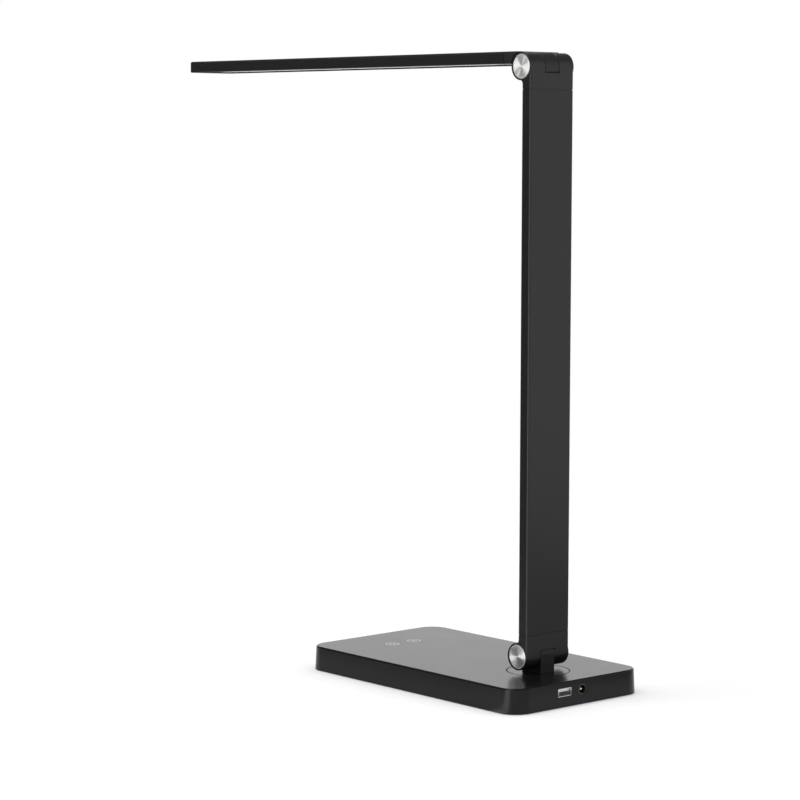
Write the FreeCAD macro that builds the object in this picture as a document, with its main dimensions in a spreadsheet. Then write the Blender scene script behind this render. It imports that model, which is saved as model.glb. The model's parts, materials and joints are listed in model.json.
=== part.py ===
"""Folding LED desk lamp: weighted base, turntable, hinged post and hinged flat head.

Millimetres. The origin lies on the table under the middle of the base. +Z is up, -Y is the
user's side where the head hangs, and both hinge axes run along X. At rest the post stands
upright and the head is level.
"""
import FreeCAD, Part
import math
import os

import Sketcher

Vector = FreeCAD.Vector

DIMENSIONS = {
    # Shared: gap between free parts, gap of a close fit, and how far forms run into each other
    "free_gap": 0.3,
    "close_gap": 0.1,
    "fuse": 0.5,
    # Base shell
    "base_wide": 130.0,
    "base_long": 230.0,
    "base_top": 18.6,
    "base_edge": 0.5,
    "base_corner": 15.0,
    "base_rim": 1.3,
    "base_wall": 2.6,
    "base_roof": 2.2,
    "base_draft": 2.5,
    "plate_gap": 0.3,
    "plate_thick": 2.2,
    "pad_thick": 1.0,
    "pad_inset": 3.4,
    "boss_x": 56.0,
    "boss_y": 100.0,
    "boss_radius": 3.2,
    "rib_thick": 1.4,
    "web_high": 6.0,
    "bore_deep": 9.0,
    "hold_reach": 46.0,
    "hold_front": -100.0,
    "hold_middle": -10.0,
    "hold_pitch": 32.0,
    "ballast_side": 50.0,
    "ballast_front": 104.0,
    "ballast_rear": 50.0,
    "ballast_thick": 7.0,
    "ballast_corner": 6.0,
    "board_thick": 1.6,
    "board_gap": 0.2,
    "board_left": -24.0,
    "board_right": 30.0,
    "board_front": -92.0,
    "board_rear": -56.0,
    "board_corner": 2.0,
    "driver_high": 1.8,
    "power_left": -18.0,
    "power_right": 27.0,
    "power_long": 10.0,
    "power_gap": 2.0,
    "touch_y": -74.6,
    "touch_on_x": 13.6,
    "touch_dim_x": -7.3,
    "touch_pad_radius": 4.5,
    # Sockets in the rear wall
    "socket_z": 11.0,
    "socket_sunk": 0.3,
    "socket_room": 0.2,
    "usb_x": 14.7,
    "usb_wide": 13.2,
    "usb_high": 5.8,
    "usb_deep": 14.0,
    "usb_wall": 0.34,
    "usb_corner": 0.5,
    "usb_back": 0.6,
    "tongue_block": 2.4,
    "tongue_inset": 0.6,
    "tongue_low": 0.35,
    "tongue_high": 2.1,
    "tongue_long": 11.6,
    "dc_x": -3.0,
    "dc_nose": 4.0,
    "dc_bore": 3.1,
    "dc_pin": 1.0,
    "dc_deep": 11.0,
    "dc_nose_long": 3.4,
    "dc_block_side": 4.4,
    "dc_block_top": 4.6,
    "dc_block_long": 10.0,
    "dc_pin_sunk": 1.4,
    # Screws
    "screw_radius": 1.2,
    "screw_bore": 1.25,
    "screw_way": 1.6,
    "screw_long": 8.0,
    "screw_head": 2.6,
    "screw_head_deep": 1.3,
    "screw_room": 3.0,
    "small_screw": 1.0,
    "small_long": 4.2,
    "small_head": 1.9,
    "small_head_thick": 0.8,
    # Turntable
    "swivel_y": 71.5,
    "disc_radius": 22.7,
    "disc_thick": 1.9,
    "disc_gap": 0.5,
    "disc_round": 0.35,
    "hub_radius": 14.0,
    "hub_roof": 1.0,
    "ledge_radius": 27.0,
    "ledge_thick": 3.0,
    "ring_radius": 19.0,
    "ring_bore": 8.6,
    "ring_thick": 1.6,
    "ring_screw_reach": 10.5,
    "wave_radius": 18.0,
    "wave_thick": 0.6,
    "running_gap": 0.08,
    # Hinges
    "lower_axis": 31.2,
    "upper_axis": 455.0,
    "barrel_radius": 10.0,
    "barrel_long": 43.0,
    "barrel_bevel": 0.4,
    "slot_bevel": 0.4,
    "knuckle_wide": 13.4,
    "knuckle_radius": 10.2,
    "knuckle_round": 0.6,
    "knuckle_screw_near": -6.5,
    "knuckle_screw_far": 1.0,
    "knuckle_screw_long": 8.5,
    "knuckle_screw_head": 2.0,
    "knuckle_bore_deep": 7.0,
    "wire_y": 6.8,
    "wire_way": 1.6,
    "pocket_radius": 11.0,
    "pin_radius": 2.5,
    "pin_gap": 0.05,
    "pin_long": 18.0,
    "pin_head": 5.0,
    "pin_head_thick": 2.6,
    "washer_radius": 6.9,
    "washer_thick": 1.0,
    "cap_radius": 8.95,
    "cap_thick": 1.6,
    "cap_sunk": 0.3,
    "cap_bevel": 0.35,
    "cap_dish": 0.25,
    "nut_seat": 14.5,
    "nut_room": 5.6,
    "nut_corner": 4.6,
    "nut_thick": 2.4,
    "spring_radius": 4.8,
    "spring_thick": 0.9,
    # Post and head share one flat section
    "flat_wide": 42.5,
    "flat_near": 0.7,
    "flat_far": 10.0,
    "flat_corner": 1.5,
    "joint_line": 0.5,
    "joint_deep": 0.45,
    "post_wall": 1.2,
    "end_length": 16.5,
    "tenon_length": 12.0,
    "tenon_corner": 0.6,
    "web_radius": 3.0,
    "web_foot": 4.0,
    "cable_half": 3.2,
    "cable_thick": 1.4,
    "cable_room": 0.4,
    "cable_inside": 4.0,
    "head_lip": 5.2,
    "head_hollow": 0.8,
    "neck_run": 6.0,
    "neck_drop": 2.0,
    "head_wires_half": 3.0,
    "head_wires_low": 4.8,
    "head_wires_high": 6.8,
    "head_wires_end": 7.0,
    "bridge_thick": 2.1,
    "head_low": 1.8,
    "head_top": 10.7,
    "head_joint": 18.0,
    "head_tip": 393.6,
    "head_corner": 4.0,
    "head_wall": 1.5,
    "head_edge": 1.4,
    "head_low_edge": 0.9,
    "diffuser_sunk": 1.1,
    "diffuser_gap": 0.15,
    "diffuser_thick": 1.6,
    "led_near_gap": 1.0,
    "led_far_gap": 3.0,
    "led_board_side": 17.0,
    "led_board_thick": 1.2,
    "led_row_x": 8.0,
    "led_pitch": 14.0,
    "chip_wide": 3.5,
    "chip_long": 2.8,
    "chip_thick": 0.7,
    "reflector_side": 19.0,
    "reflector_wall": 1.4,
}

doc = FreeCAD.newDocument("FoldingLamp")
sheet = doc.addObject("Spreadsheet::Sheet", "Sizes")
for row, (alias, number) in enumerate(DIMENSIONS.items(), start=1):
    sheet.set(f"A{row}", alias)
    sheet.set(f"B{row}", str(number))
    sheet.setAlias(f"B{row}", alias)
doc.recompute()


class Size:
    """A length that keeps the formula which ties it to the sheet."""

    def __init__(self, number, formula):
        self.number = number
        self.formula = formula

    def __add__(self, other):
        other = size(other)
        return Size(self.number + other.number, f"({self.formula} + {other.formula})")

    def __sub__(self, other):
        other = size(other)
        return Size(self.number - other.number, f"({self.formula} - {other.formula})")

    def __mul__(self, other):
        other = size(other)
        return Size(self.number * other.number, f"({self.formula} * {other.formula})")

    def __truediv__(self, other):
        other = size(other)
        return Size(self.number / other.number, f"({self.formula} / {other.formula})")

    def __neg__(self):
        return Size(-self.number, f"(0 - {self.formula})")

    def __radd__(self, other):
        return size(other) + self

    def __rsub__(self, other):
        return size(other) - self

    def __rmul__(self, other):
        return size(other) * self


def size(value):
    if isinstance(value, Size):
        return value
    return Size(float(value), f"({float(value)})")


def root(value):
    return Size(math.sqrt(value.number), f"sqrt({value.formula})")


def tangent(angle):
    return Size(math.tan(math.radians(angle.number)), f"tan({angle.formula} * 1 deg)")


class Sheet:
    """Reads every driving dimension as a Size."""

    def __getattr__(self, alias):
        return Size(DIMENSIONS[alias], f"Sizes.{alias}")


S = Sheet()


def bind(item, prop, value):
    item.setExpression(prop, size(value).formula)


# Sketches and features

def new_body(label):
    body = doc.addObject("PartDesign::Body", label)
    body.Label = label
    return body


def new_sketch(body, role, height=0):
    """A sketch on one of the body's own planes, moved along the plane's normal."""
    sketch = body.newObject("Sketcher::SketchObject", f"{body.Name}_sketch")
    plane = [item for item in body.Origin.OriginFeatures if item.Role == role][0]
    sketch.AttachmentSupport = (plane, [""])
    sketch.MapMode = "FlatFace"
    bind(sketch, "AttachmentOffset.Base.z", height)
    return sketch


def fix(sketch, kind, *where, value):
    value = size(value)
    index = sketch.addConstraint(Sketcher.Constraint(kind, *where, value.number))
    sketch.setExpression(f"Constraints[{index}]", value.formula)


def place_point(sketch, line, end, x, y):
    fix(sketch, "DistanceX", -1, 1, line, end, value=x)
    fix(sketch, "DistanceY", -1, 1, line, end, value=y)


def circle(sketch, radius, x=0, y=0):
    x = size(x)
    y = size(y)
    radius = size(radius)
    shape = Part.Circle(Vector(x.number, y.number, 0), Vector(0, 0, 1), radius.number)
    line = sketch.addGeometry(shape, False)
    place_point(sketch, line, 3, x, y)
    fix(sketch, "Radius", line, value=radius)


def outline(sketch, corners):
    """Closed outline through the given corners.

    A corner is (x, y), and (x, y, radius) bows the stretch that leaves it into an arc: a
    positive radius turns left about its centre, and a negative one turns right.
    """
    count = len(corners)
    corners = [tuple(size(value) for value in corner) for corner in corners]
    lines = []
    ends = []
    for index, corner in enumerate(corners):
        after = corners[(index + 1) % count]
        start = Vector(corner[0].number, corner[1].number, 0)
        stop = Vector(after[0].number, after[1].number, 0)
        if len(corner) == 2:
            lines.append(sketch.addGeometry(Part.LineSegment(start, stop), False))
            ends.append((1, 2))
            continue
        bend = corner[2].number
        chord = stop - start
        lift = math.sqrt(max(bend * bend - chord.Length ** 2 / 4, 0))
        left = Vector(-chord.y, chord.x, 0).normalize()
        centre = (start + stop) * 0.5 + left * math.copysign(lift, bend)
        first = math.atan2(start.y - centre.y, start.x - centre.x)
        last = math.atan2(stop.y - centre.y, stop.x - centre.x)
        if bend < 0:
            first, last = last, first
        if last <= first:
            last += 2 * math.pi
        ring = Part.Circle(centre, Vector(0, 0, 1), abs(bend))
        lines.append(sketch.addGeometry(Part.ArcOfCircle(ring, first, last), False))
        ends.append((1, 2) if bend > 0 else (2, 1))
    for index, corner in enumerate(corners):
        after = (index + 1) % count
        sketch.addConstraint(
            Sketcher.Constraint("Coincident", lines[index], ends[index][1], lines[after], ends[after][0])
        )
        place_point(sketch, lines[index], ends[index][0], corner[0], corner[1])
        if len(corner) == 3:
            bend = corner[2] if corner[2].number > 0 else -corner[2]
            fix(sketch, "Radius", lines[index], value=bend)


def rectangle(sketch, left, right, low, high):
    outline(sketch, [(left, low), (right, low), (right, high), (left, high)])


def soft_rectangle(sketch, left, right, low, high, radius):
    """Rectangle with round corners."""
    left, right, low, high, radius = (size(value) for value in (left, right, low, high, radius))
    outline(sketch, [
        (left + radius, low),
        (right - radius, low, radius),
        (right, low + radius),
        (right, high - radius, radius),
        (right - radius, high),
        (left + radius, high, radius),
        (left, high - radius),
        (left, low + radius, radius),
    ])


def pad(sketch, length, both_ways=False, backwards=False, draft=None):
    body = sketch.getParentGeoFeatureGroup()
    feature = body.newObject("PartDesign::Pad", f"{body.Name}_pad")
    feature.Profile = sketch
    feature.SideType = "Symmetric" if both_ways else "One side"
    feature.Reversed = backwards
    bind(feature, "Length", length)
    if draft is not None:
        bind(feature, "TaperAngle", draft)
    doc.recompute()
    return feature


def pocket(sketch, length, both_ways=False, backwards=False):
    """Cuts along the sketch's normal reversed, or along it when backwards is set."""
    body = sketch.getParentGeoFeatureGroup()
    before = body.Shape.Volume
    feature = body.newObject("PartDesign::Pocket", f"{body.Name}_pocket")
    feature.Profile = sketch
    feature.SideType = "Symmetric" if both_ways else "One side"
    feature.Reversed = backwards
    bind(feature, "Length", length)
    doc.recompute()
    if body.Shape.Volume > before - 0.01:
        raise RuntimeError(f"a pocket of {body.Label} cuts nothing")
    return feature


def turn(sketch, kind="Revolution"):
    """Turns a sketch right round its own horizontal axis; a Groove takes that away."""
    body = sketch.getParentGeoFeatureGroup()
    feature = body.newObject(f"PartDesign::{kind}", f"{body.Name}_{kind}")
    feature.Profile = sketch
    feature.ReferenceAxis = (sketch, ["H_Axis"])
    feature.Angle = 360
    doc.recompute()
    return feature


def round_edges(feature, radius, chosen):
    """Rounds the edges of a feature that the test picks."""
    body = feature.getParentGeoFeatureGroup()
    names = [f"Edge{number}" for number, edge in enumerate(feature.Shape.Edges, start=1) if chosen(edge)]
    if not names:
        raise RuntimeError(f"no edge to round on {body.Label}")
    result = body.newObject("PartDesign::Fillet", f"{body.Name}_round")
    result.Base = (feature, names)
    bind(result, "Radius", radius)
    doc.recompute()
    return result


def move(body, x=0, y=0, z=0, turned=False):
    """Places a sub-part; turned stands it on its head about the Y axis."""
    if turned:
        body.Placement = FreeCAD.Placement(Vector(), FreeCAD.Rotation(Vector(0, 1, 0), 180))
    bind(body, "Placement.Base.x", x)
    bind(body, "Placement.Base.y", y)
    bind(body, "Placement.Base.z", z)
    doc.recompute()
    return body


def in_plane(axis, *places):
    """A test for edges along which the named axis keeps one of the given values."""
    numbers = [size(place).number for place in places]

    def chosen(edge):
        low = getattr(edge.BoundBox, f"{axis}Min")
        high = getattr(edge.BoundBox, f"{axis}Max")
        return any(abs(low - number) < 0.001 and abs(high - number) < 0.001 for number in numbers)
    return chosen


def ring_of_points(reach, angles):
    return [(reach * math.cos(math.radians(angle)), reach * math.sin(math.radians(angle)))
            for angle in angles]


PLAN = "XY_Plane"
FRONT = "XZ_Plane"
SIDE = "YZ_Plane"


# Base

def boss_places():
    return [(side * S.boss_x, row * S.boss_y) for side in (-1, 1) for row in (-1, 0, 1)]


def hold_rows():
    middle = S.hold_middle
    return S.hold_front, middle - S.hold_pitch, middle, middle + S.hold_pitch


def base_ceiling():
    return S.base_top - S.base_roof


def plate_top():
    return S.pad_thick + S.plate_thick


def ballast_top():
    return plate_top() + S.ballast_thick


def rear_face():
    """The drafted rear wall's place at the height of the sockets."""
    return S.base_long / 2 - (S.socket_z - S.base_edge) * tangent(S.base_draft)


def socket_face():
    return rear_face() - S.socket_sunk


def base_housing():
    """Moulded shell: drafted sides, round rim, turntable seat, bosses, ribs and cut-outs."""
    body = new_body("base_housing")
    half_wide = S.base_wide / 2
    half_long = S.base_long / 2
    shell = new_sketch(body, PLAN, S.base_edge)
    soft_rectangle(shell, -half_wide, half_wide, -half_long, half_long, S.base_corner)
    block = pad(shell, S.base_top - S.base_edge, draft=-S.base_draft)
    round_edges(block, S.base_rim, in_plane("Z", S.base_top))

    inside = new_sketch(body, PLAN, S.base_edge)
    inner_wide = S.base_wide / 2 - S.base_wall
    inner_long = S.base_long / 2 - S.base_wall
    soft_rectangle(inside, -inner_wide, inner_wide, -inner_long, inner_long, S.base_corner - S.base_wall)
    pocket(inside, S.base_top - S.base_edge - S.base_roof, backwards=True)

    # Ledge ring that carries the turntable
    ceiling = base_ceiling()
    ledge = new_sketch(body, PLAN, ceiling - S.ledge_thick)
    circle(ledge, S.ledge_radius, 0, S.swivel_y)
    pad(ledge, S.ledge_thick + S.fuse)

    # Screw bosses and the ribs that tie them to the long walls
    columns = new_sketch(body, PLAN, plate_top())
    for x, y in boss_places():
        circle(columns, S.boss_radius, x, y)
    pad(columns, ceiling - plate_top() + S.fuse)
    webs = new_sketch(body, PLAN, ceiling - S.web_high)
    for x, y in boss_places():
        outward = 1 if x.number > 0 else -1
        near = x + outward * (S.boss_radius - S.fuse)
        far = outward * (inner_wide + S.fuse)
        left, right = (near, far) if outward > 0 else (far, near)
        rectangle(webs, left, right, y - S.rib_thick / 2, y + S.rib_thick / 2)
    pad(webs, S.web_high + S.fuse)
    bores = new_sketch(body, PLAN, plate_top())
    for x, y in boss_places():
        circle(bores, S.screw_bore, x, y)
    pocket(bores, S.bore_deep, backwards=True)

    # Cross ribs that hold the weight down
    hold = new_sketch(body, PLAN, ballast_top() + S.free_gap)
    for y in hold_rows():
        rectangle(hold, -S.hold_reach, S.hold_reach, y - S.rib_thick / 2, y + S.rib_thick / 2)
    pad(hold, ceiling - ballast_top())

    seat = new_sketch(body, PLAN, ceiling)
    circle(seat, S.disc_radius + S.disc_gap, 0, S.swivel_y)
    opened = pocket(seat, S.base_roof + S.fuse, backwards=True)
    on_top = in_plane("Z", S.base_top)
    round_edges(opened, S.disc_round,
                lambda edge: on_top(edge) and edge.BoundBox.XMax < S.ledge_radius.number)
    bearing = new_sketch(body, PLAN, 0)
    circle(bearing, S.hub_radius + S.running_gap, 0, S.swivel_y)
    pocket(bearing, S.base_top, backwards=True)

    # Socket cut-outs through the rear wall
    cut = new_sketch(body, FRONT, -(half_long + S.fuse))
    half_usb = S.usb_wide / 2 + S.socket_room
    half_high = S.usb_high / 2 + S.socket_room
    soft_rectangle(cut, S.usb_x - half_usb, S.usb_x + half_usb,
                   S.socket_z - half_high, S.socket_z + half_high, S.usb_corner)
    circle(cut, S.dc_nose + S.socket_room, S.dc_x, S.socket_z)
    pocket(cut, S.base_wall + 2 * S.fuse, backwards=True)
    return body


def base_bottom_plate():
    """Closing plate inside the shell's walls, with stepped screw holes."""
    body = new_body("base_bottom_plate")
    inset = S.base_wall + S.plate_gap
    half_wide = S.base_wide / 2 - inset
    half_long = S.base_long / 2 - inset
    slab = new_sketch(body, PLAN, S.pad_thick)
    soft_rectangle(slab, -half_wide, half_wide, -half_long, half_long, S.base_corner - inset)
    pad(slab, S.plate_thick)
    for radius, deep in ((S.screw_way, S.plate_thick), (S.screw_room, S.screw_head_deep)):
        holes = new_sketch(body, PLAN, S.pad_thick)
        for x, y in boss_places():
            circle(holes, radius, x, y)
        pocket(holes, deep, backwards=True)
    return body


def base_screws():
    """Six identical pan-head screws."""
    body = new_body("base_screws")
    shafts = new_sketch(body, PLAN, S.pad_thick + S.screw_head_deep)
    for x, y in boss_places():
        circle(shafts, S.screw_radius, x, y)
    pad(shafts, S.screw_long)
    heads = new_sketch(body, PLAN, S.pad_thick + S.close_gap)
    for x, y in boss_places():
        circle(heads, S.screw_head, x, y)
    pad(heads, S.screw_head_deep - S.close_gap)
    return body


def anti_slip_pad():
    """Thin rubber foot under the closing plate."""
    body = new_body("anti_slip_pad")
    foot = new_sketch(body, PLAN)
    half_wide = S.base_wide / 2 - S.pad_inset
    half_long = S.base_long / 2 - S.pad_inset
    soft_rectangle(foot, -half_wide, half_wide, -half_long, half_long, S.base_corner - S.pad_inset)
    pad(foot, S.pad_thick)
    return body


def ballast_plate():
    """Steel weight under the user's side of the base."""
    body = new_body("ballast_plate")
    slab = new_sketch(body, PLAN, plate_top())
    soft_rectangle(slab, -S.ballast_side, S.ballast_side, -S.ballast_front, S.ballast_rear,
                   S.ballast_corner)
    pad(slab, S.ballast_thick)
    return body


# Left, right, front and rear edge of each part on the control board
DRIVER_PARTS = [(-20, -13, -66, -60), (-4, 2, -66, -60), (20, 26, -90, -82)]


def control_board():
    """Touch and dimmer board on the weight's front end, with its driver parts."""
    body = new_body("control_board")
    board = new_sketch(body, PLAN, ballast_top() + S.board_gap)
    soft_rectangle(board, S.board_left, S.board_right, S.board_front, S.board_rear, S.board_corner)
    pad(board, S.board_thick)
    drivers = new_sketch(body, PLAN, board_face())
    for left, right, front, rear in DRIVER_PARTS:
        rectangle(drivers, left, right, front, rear)
    pad(drivers, S.driver_high)
    return body


def board_face():
    """Upper face of the control board."""
    return ballast_top() + S.board_gap + S.board_thick


def touch_pads():
    """Conductive foam columns from the board up to the shell under the two rings."""
    body = new_body("touch_pads")
    columns = new_sketch(body, PLAN, board_face())
    for x in (S.touch_on_x, S.touch_dim_x):
        circle(columns, S.touch_pad_radius, x, S.touch_y)
    pad(columns, base_ceiling() - board_face())
    return body


def power_board():
    """Small board behind the rear wall that carries both sockets."""
    body = new_body("power_board")
    board = new_sketch(body, PLAN, S.socket_z - S.usb_high / 2 - S.board_thick)
    rear = S.base_long / 2 - S.base_wall - S.power_gap
    rectangle(board, S.power_left, S.power_right, rear - S.power_long, rear)
    pad(board, S.board_thick)
    return body


def usb_section(sketch, side, low, high):
    """Rectangle about the USB-A socket's middle, as far out as the sizes say."""
    rectangle(sketch, S.usb_x - side, S.usb_x + side, S.socket_z + low, S.socket_z + high)


def usb_socket_shell():
    """Folded sheet-metal shell, open to the rear."""
    body = new_body("usb_socket_shell")
    tube = new_sketch(body, FRONT, -socket_face())
    side = S.usb_wide / 2
    high = S.usb_high / 2
    soft_rectangle(tube, S.usb_x - side, S.usb_x + side, S.socket_z - high, S.socket_z + high, S.usb_corner)
    pad(tube, S.usb_deep)
    hollow = new_sketch(body, FRONT, -socket_face())
    usb_section(hollow, side - S.usb_wall, S.usb_wall - high, high - S.usb_wall)
    pocket(hollow, S.usb_deep - S.usb_back, backwards=True)
    return body


def usb_socket_tongue():
    """Contact tongue and the block that it stands on."""
    body = new_body("usb_socket_tongue")
    back = socket_face() - S.usb_deep + S.usb_back
    side = S.usb_wide / 2 - S.usb_wall
    high = S.usb_high / 2 - S.usb_wall
    block = new_sketch(body, FRONT, -back)
    usb_section(block, side, -high, high)
    pad(block, S.tongue_block, backwards=True)
    tongue = new_sketch(body, FRONT, -back)
    usb_section(tongue, side - S.tongue_inset, S.tongue_low, S.tongue_high)
    pad(tongue, S.tongue_long, backwards=True)
    return body


def dc_inlet_body():
    """Moulded power inlet: round nose through the wall, square block on the board."""
    body = new_body("dc_inlet_body")
    nose = new_sketch(body, FRONT, -socket_face())
    circle(nose, S.dc_nose, S.dc_x, S.socket_z)
    pad(nose, S.dc_nose_long)
    block = new_sketch(body, FRONT, -(socket_face() - S.dc_nose_long + S.fuse))
    rectangle(block, S.dc_x - S.dc_block_side, S.dc_x + S.dc_block_side,
              S.socket_z - S.usb_high / 2, S.socket_z + S.dc_block_top)
    pad(block, S.dc_block_long)
    socket = new_sketch(body, FRONT, -socket_face())
    circle(socket, S.dc_bore, S.dc_x, S.socket_z)
    pocket(socket, S.dc_deep, backwards=True)
    return body


def dc_inlet_pin():
    """Round-nosed pin on the inlet's floor."""
    body = new_body("dc_inlet_pin")
    length = S.dc_deep - S.dc_pin_sunk
    pin = new_sketch(body, FRONT, -(socket_face() - S.dc_deep))
    circle(pin, S.dc_pin, S.dc_x, S.socket_z)
    raised = pad(pin, length, backwards=True)
    round_edges(raised, S.dc_pin / 2, in_plane("Y", socket_face() - S.dc_deep + length))
    return body


# Turntable

def ring_top():
    """Upper face of the retaining ring, under the ledge and the wave washer."""
    return base_ceiling() - S.ledge_thick - S.free_gap - S.wave_thick


def screw_seat():
    """Height of the knuckle screws' heads in the hub."""
    return S.base_top - S.disc_thick - S.hub_roof


def turntable_disc():
    """Flush disc with the hub that turns in the shell's ledge."""
    body = new_body("turntable_disc")
    plate = new_sketch(body, PLAN, S.base_top - S.disc_thick)
    circle(plate, S.disc_radius)
    disc = pad(plate, S.disc_thick)
    round_edges(disc, S.disc_round, in_plane("Z", S.base_top))
    hub = new_sketch(body, PLAN, ring_top())
    circle(hub, S.hub_radius)
    pad(hub, S.base_top - ring_top() - S.disc_thick / 2)
    ways = new_sketch(body, PLAN)
    circle(ways, S.wire_way, 0, S.wire_y)
    for y in knuckle_screw_rows():
        circle(ways, S.screw_way, 0, y)
    pocket(ways, S.base_top + S.fuse, backwards=True)
    heads = new_sketch(body, PLAN)
    for y in knuckle_screw_rows():
        circle(heads, S.screw_room, 0, y)
    pocket(heads, screw_seat(), backwards=True)
    threads = new_sketch(body, PLAN)
    for x, y in ring_screw_places():
        circle(threads, S.small_screw, x, y)
    pocket(threads, S.base_top - S.disc_thick - S.fuse, backwards=True)
    return move(body, y=S.swivel_y)


def knuckle_screw_rows():
    return S.knuckle_screw_near, S.knuckle_screw_far


def ring_screw_places():
    return ring_of_points(S.ring_screw_reach, (30, 150, 270))


def retaining_ring():
    """Plate screwed under the hub, wider than the ledge's bore."""
    body = new_body("retaining_ring")
    plate = new_sketch(body, PLAN, ring_top() - S.ring_thick)
    circle(plate, S.ring_radius)
    pad(plate, S.ring_thick)
    middle = new_sketch(body, PLAN, ring_top() - S.ring_thick)
    circle(middle, S.ring_bore)
    for x, y in ring_screw_places():
        circle(middle, S.screw_radius, x, y)
    pocket(middle, S.ring_thick, backwards=True)
    return move(body, y=S.swivel_y)


def ring_screws():
    """Three small screws that hold the ring to the hub."""
    body = new_body("ring_screws")
    seat = ring_top() - S.ring_thick
    shafts = new_sketch(body, PLAN, seat)
    heads = new_sketch(body, PLAN, seat - S.small_head_thick)
    for x, y in ring_screw_places():
        circle(shafts, S.small_screw, x, y)
        circle(heads, S.small_head, x, y)
    pad(shafts, S.small_long)
    pad(heads, S.small_head_thick)
    return move(body, y=S.swivel_y)


def wave_washer():
    """Spring ring between the ledge and the retaining ring, drawn pressed flat."""
    body = new_body("wave_washer")
    plate = new_sketch(body, PLAN, ring_top())
    circle(plate, S.wave_radius)
    circle(plate, S.hub_radius + S.free_gap)
    pad(plate, S.wave_thick)
    return move(body, y=S.swivel_y)


def lower_knuckle():
    """Round-topped block that rises from the disc into the slot of the post's end piece."""
    body = new_body("lower_knuckle")
    foot = S.lower_axis - S.base_top
    side = new_sketch(body, SIDE)
    outline(side, [
        (-S.knuckle_radius, -foot),
        (S.knuckle_radius, -foot),
        (S.knuckle_radius, 0, S.knuckle_radius),
        (0, S.knuckle_radius, S.knuckle_radius),
        (-S.knuckle_radius, 0),
    ])
    block = pad(side, S.knuckle_wide, both_ways=True)
    on_side = in_plane("X", S.knuckle_wide / 2, -S.knuckle_wide / 2)
    round_edges(block, S.knuckle_round,
                lambda edge: on_side(edge) and edge.BoundBox.ZMax > S.fuse.number - foot.number)
    bore = new_sketch(body, SIDE)
    circle(bore, S.pin_radius + S.pin_gap)
    pocket(bore, S.barrel_long, both_ways=True)
    wires = new_sketch(body, PLAN, -foot)
    circle(wires, S.wire_way, 0, S.wire_y)
    pocket(wires, foot + S.barrel_radius, backwards=True)
    threads = new_sketch(body, PLAN, -foot)
    for y in knuckle_screw_rows():
        circle(threads, S.screw_bore, 0, y)
    pocket(threads, S.knuckle_bore_deep, backwards=True)
    return move(body, y=S.swivel_y, z=S.lower_axis)


def knuckle_screws():
    """Two screws through the hub into the knuckle's foot."""
    body = new_body("knuckle_screws")
    shafts = new_sketch(body, PLAN, screw_seat())
    heads = new_sketch(body, PLAN, screw_seat() - S.knuckle_screw_head)
    for y in knuckle_screw_rows():
        circle(shafts, S.screw_radius, 0, y)
        circle(heads, S.screw_head, 0, y)
    pad(shafts, S.knuckle_screw_long)
    pad(heads, S.knuckle_screw_head)
    return move(body, y=S.swivel_y)


# Hinges and arm

def flat_middle():
    return (S.flat_near + S.flat_far) / 2


def web_centre():
    """Centre of the hollow curve between a barrel and the flat's near face."""
    across = S.flat_near - S.web_radius
    reach = S.barrel_radius + S.web_radius
    along = root(reach * reach - across * across)
    return across, along


def post_section(sketch, inset, corner, length):
    """Pads the flat section that post and end pieces share, drawn in from its outline."""
    half = S.flat_wide / 2 - inset
    soft_rectangle(sketch, -half, half, S.flat_near + inset, S.flat_far - inset, corner)
    return pad(sketch, length)


def drum(body, length, radius, bevel):
    """Half profile of a cylinder about the hinge axis, with bevelled rims."""
    profile = new_sketch(body, PLAN)
    reach = length / 2
    outline(profile, [
        (-reach, 0),
        (reach, 0),
        (reach, radius - bevel),
        (reach - bevel, radius),
        (bevel - reach, radius),
        (-reach, radius - bevel),
    ])
    return profile


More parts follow.
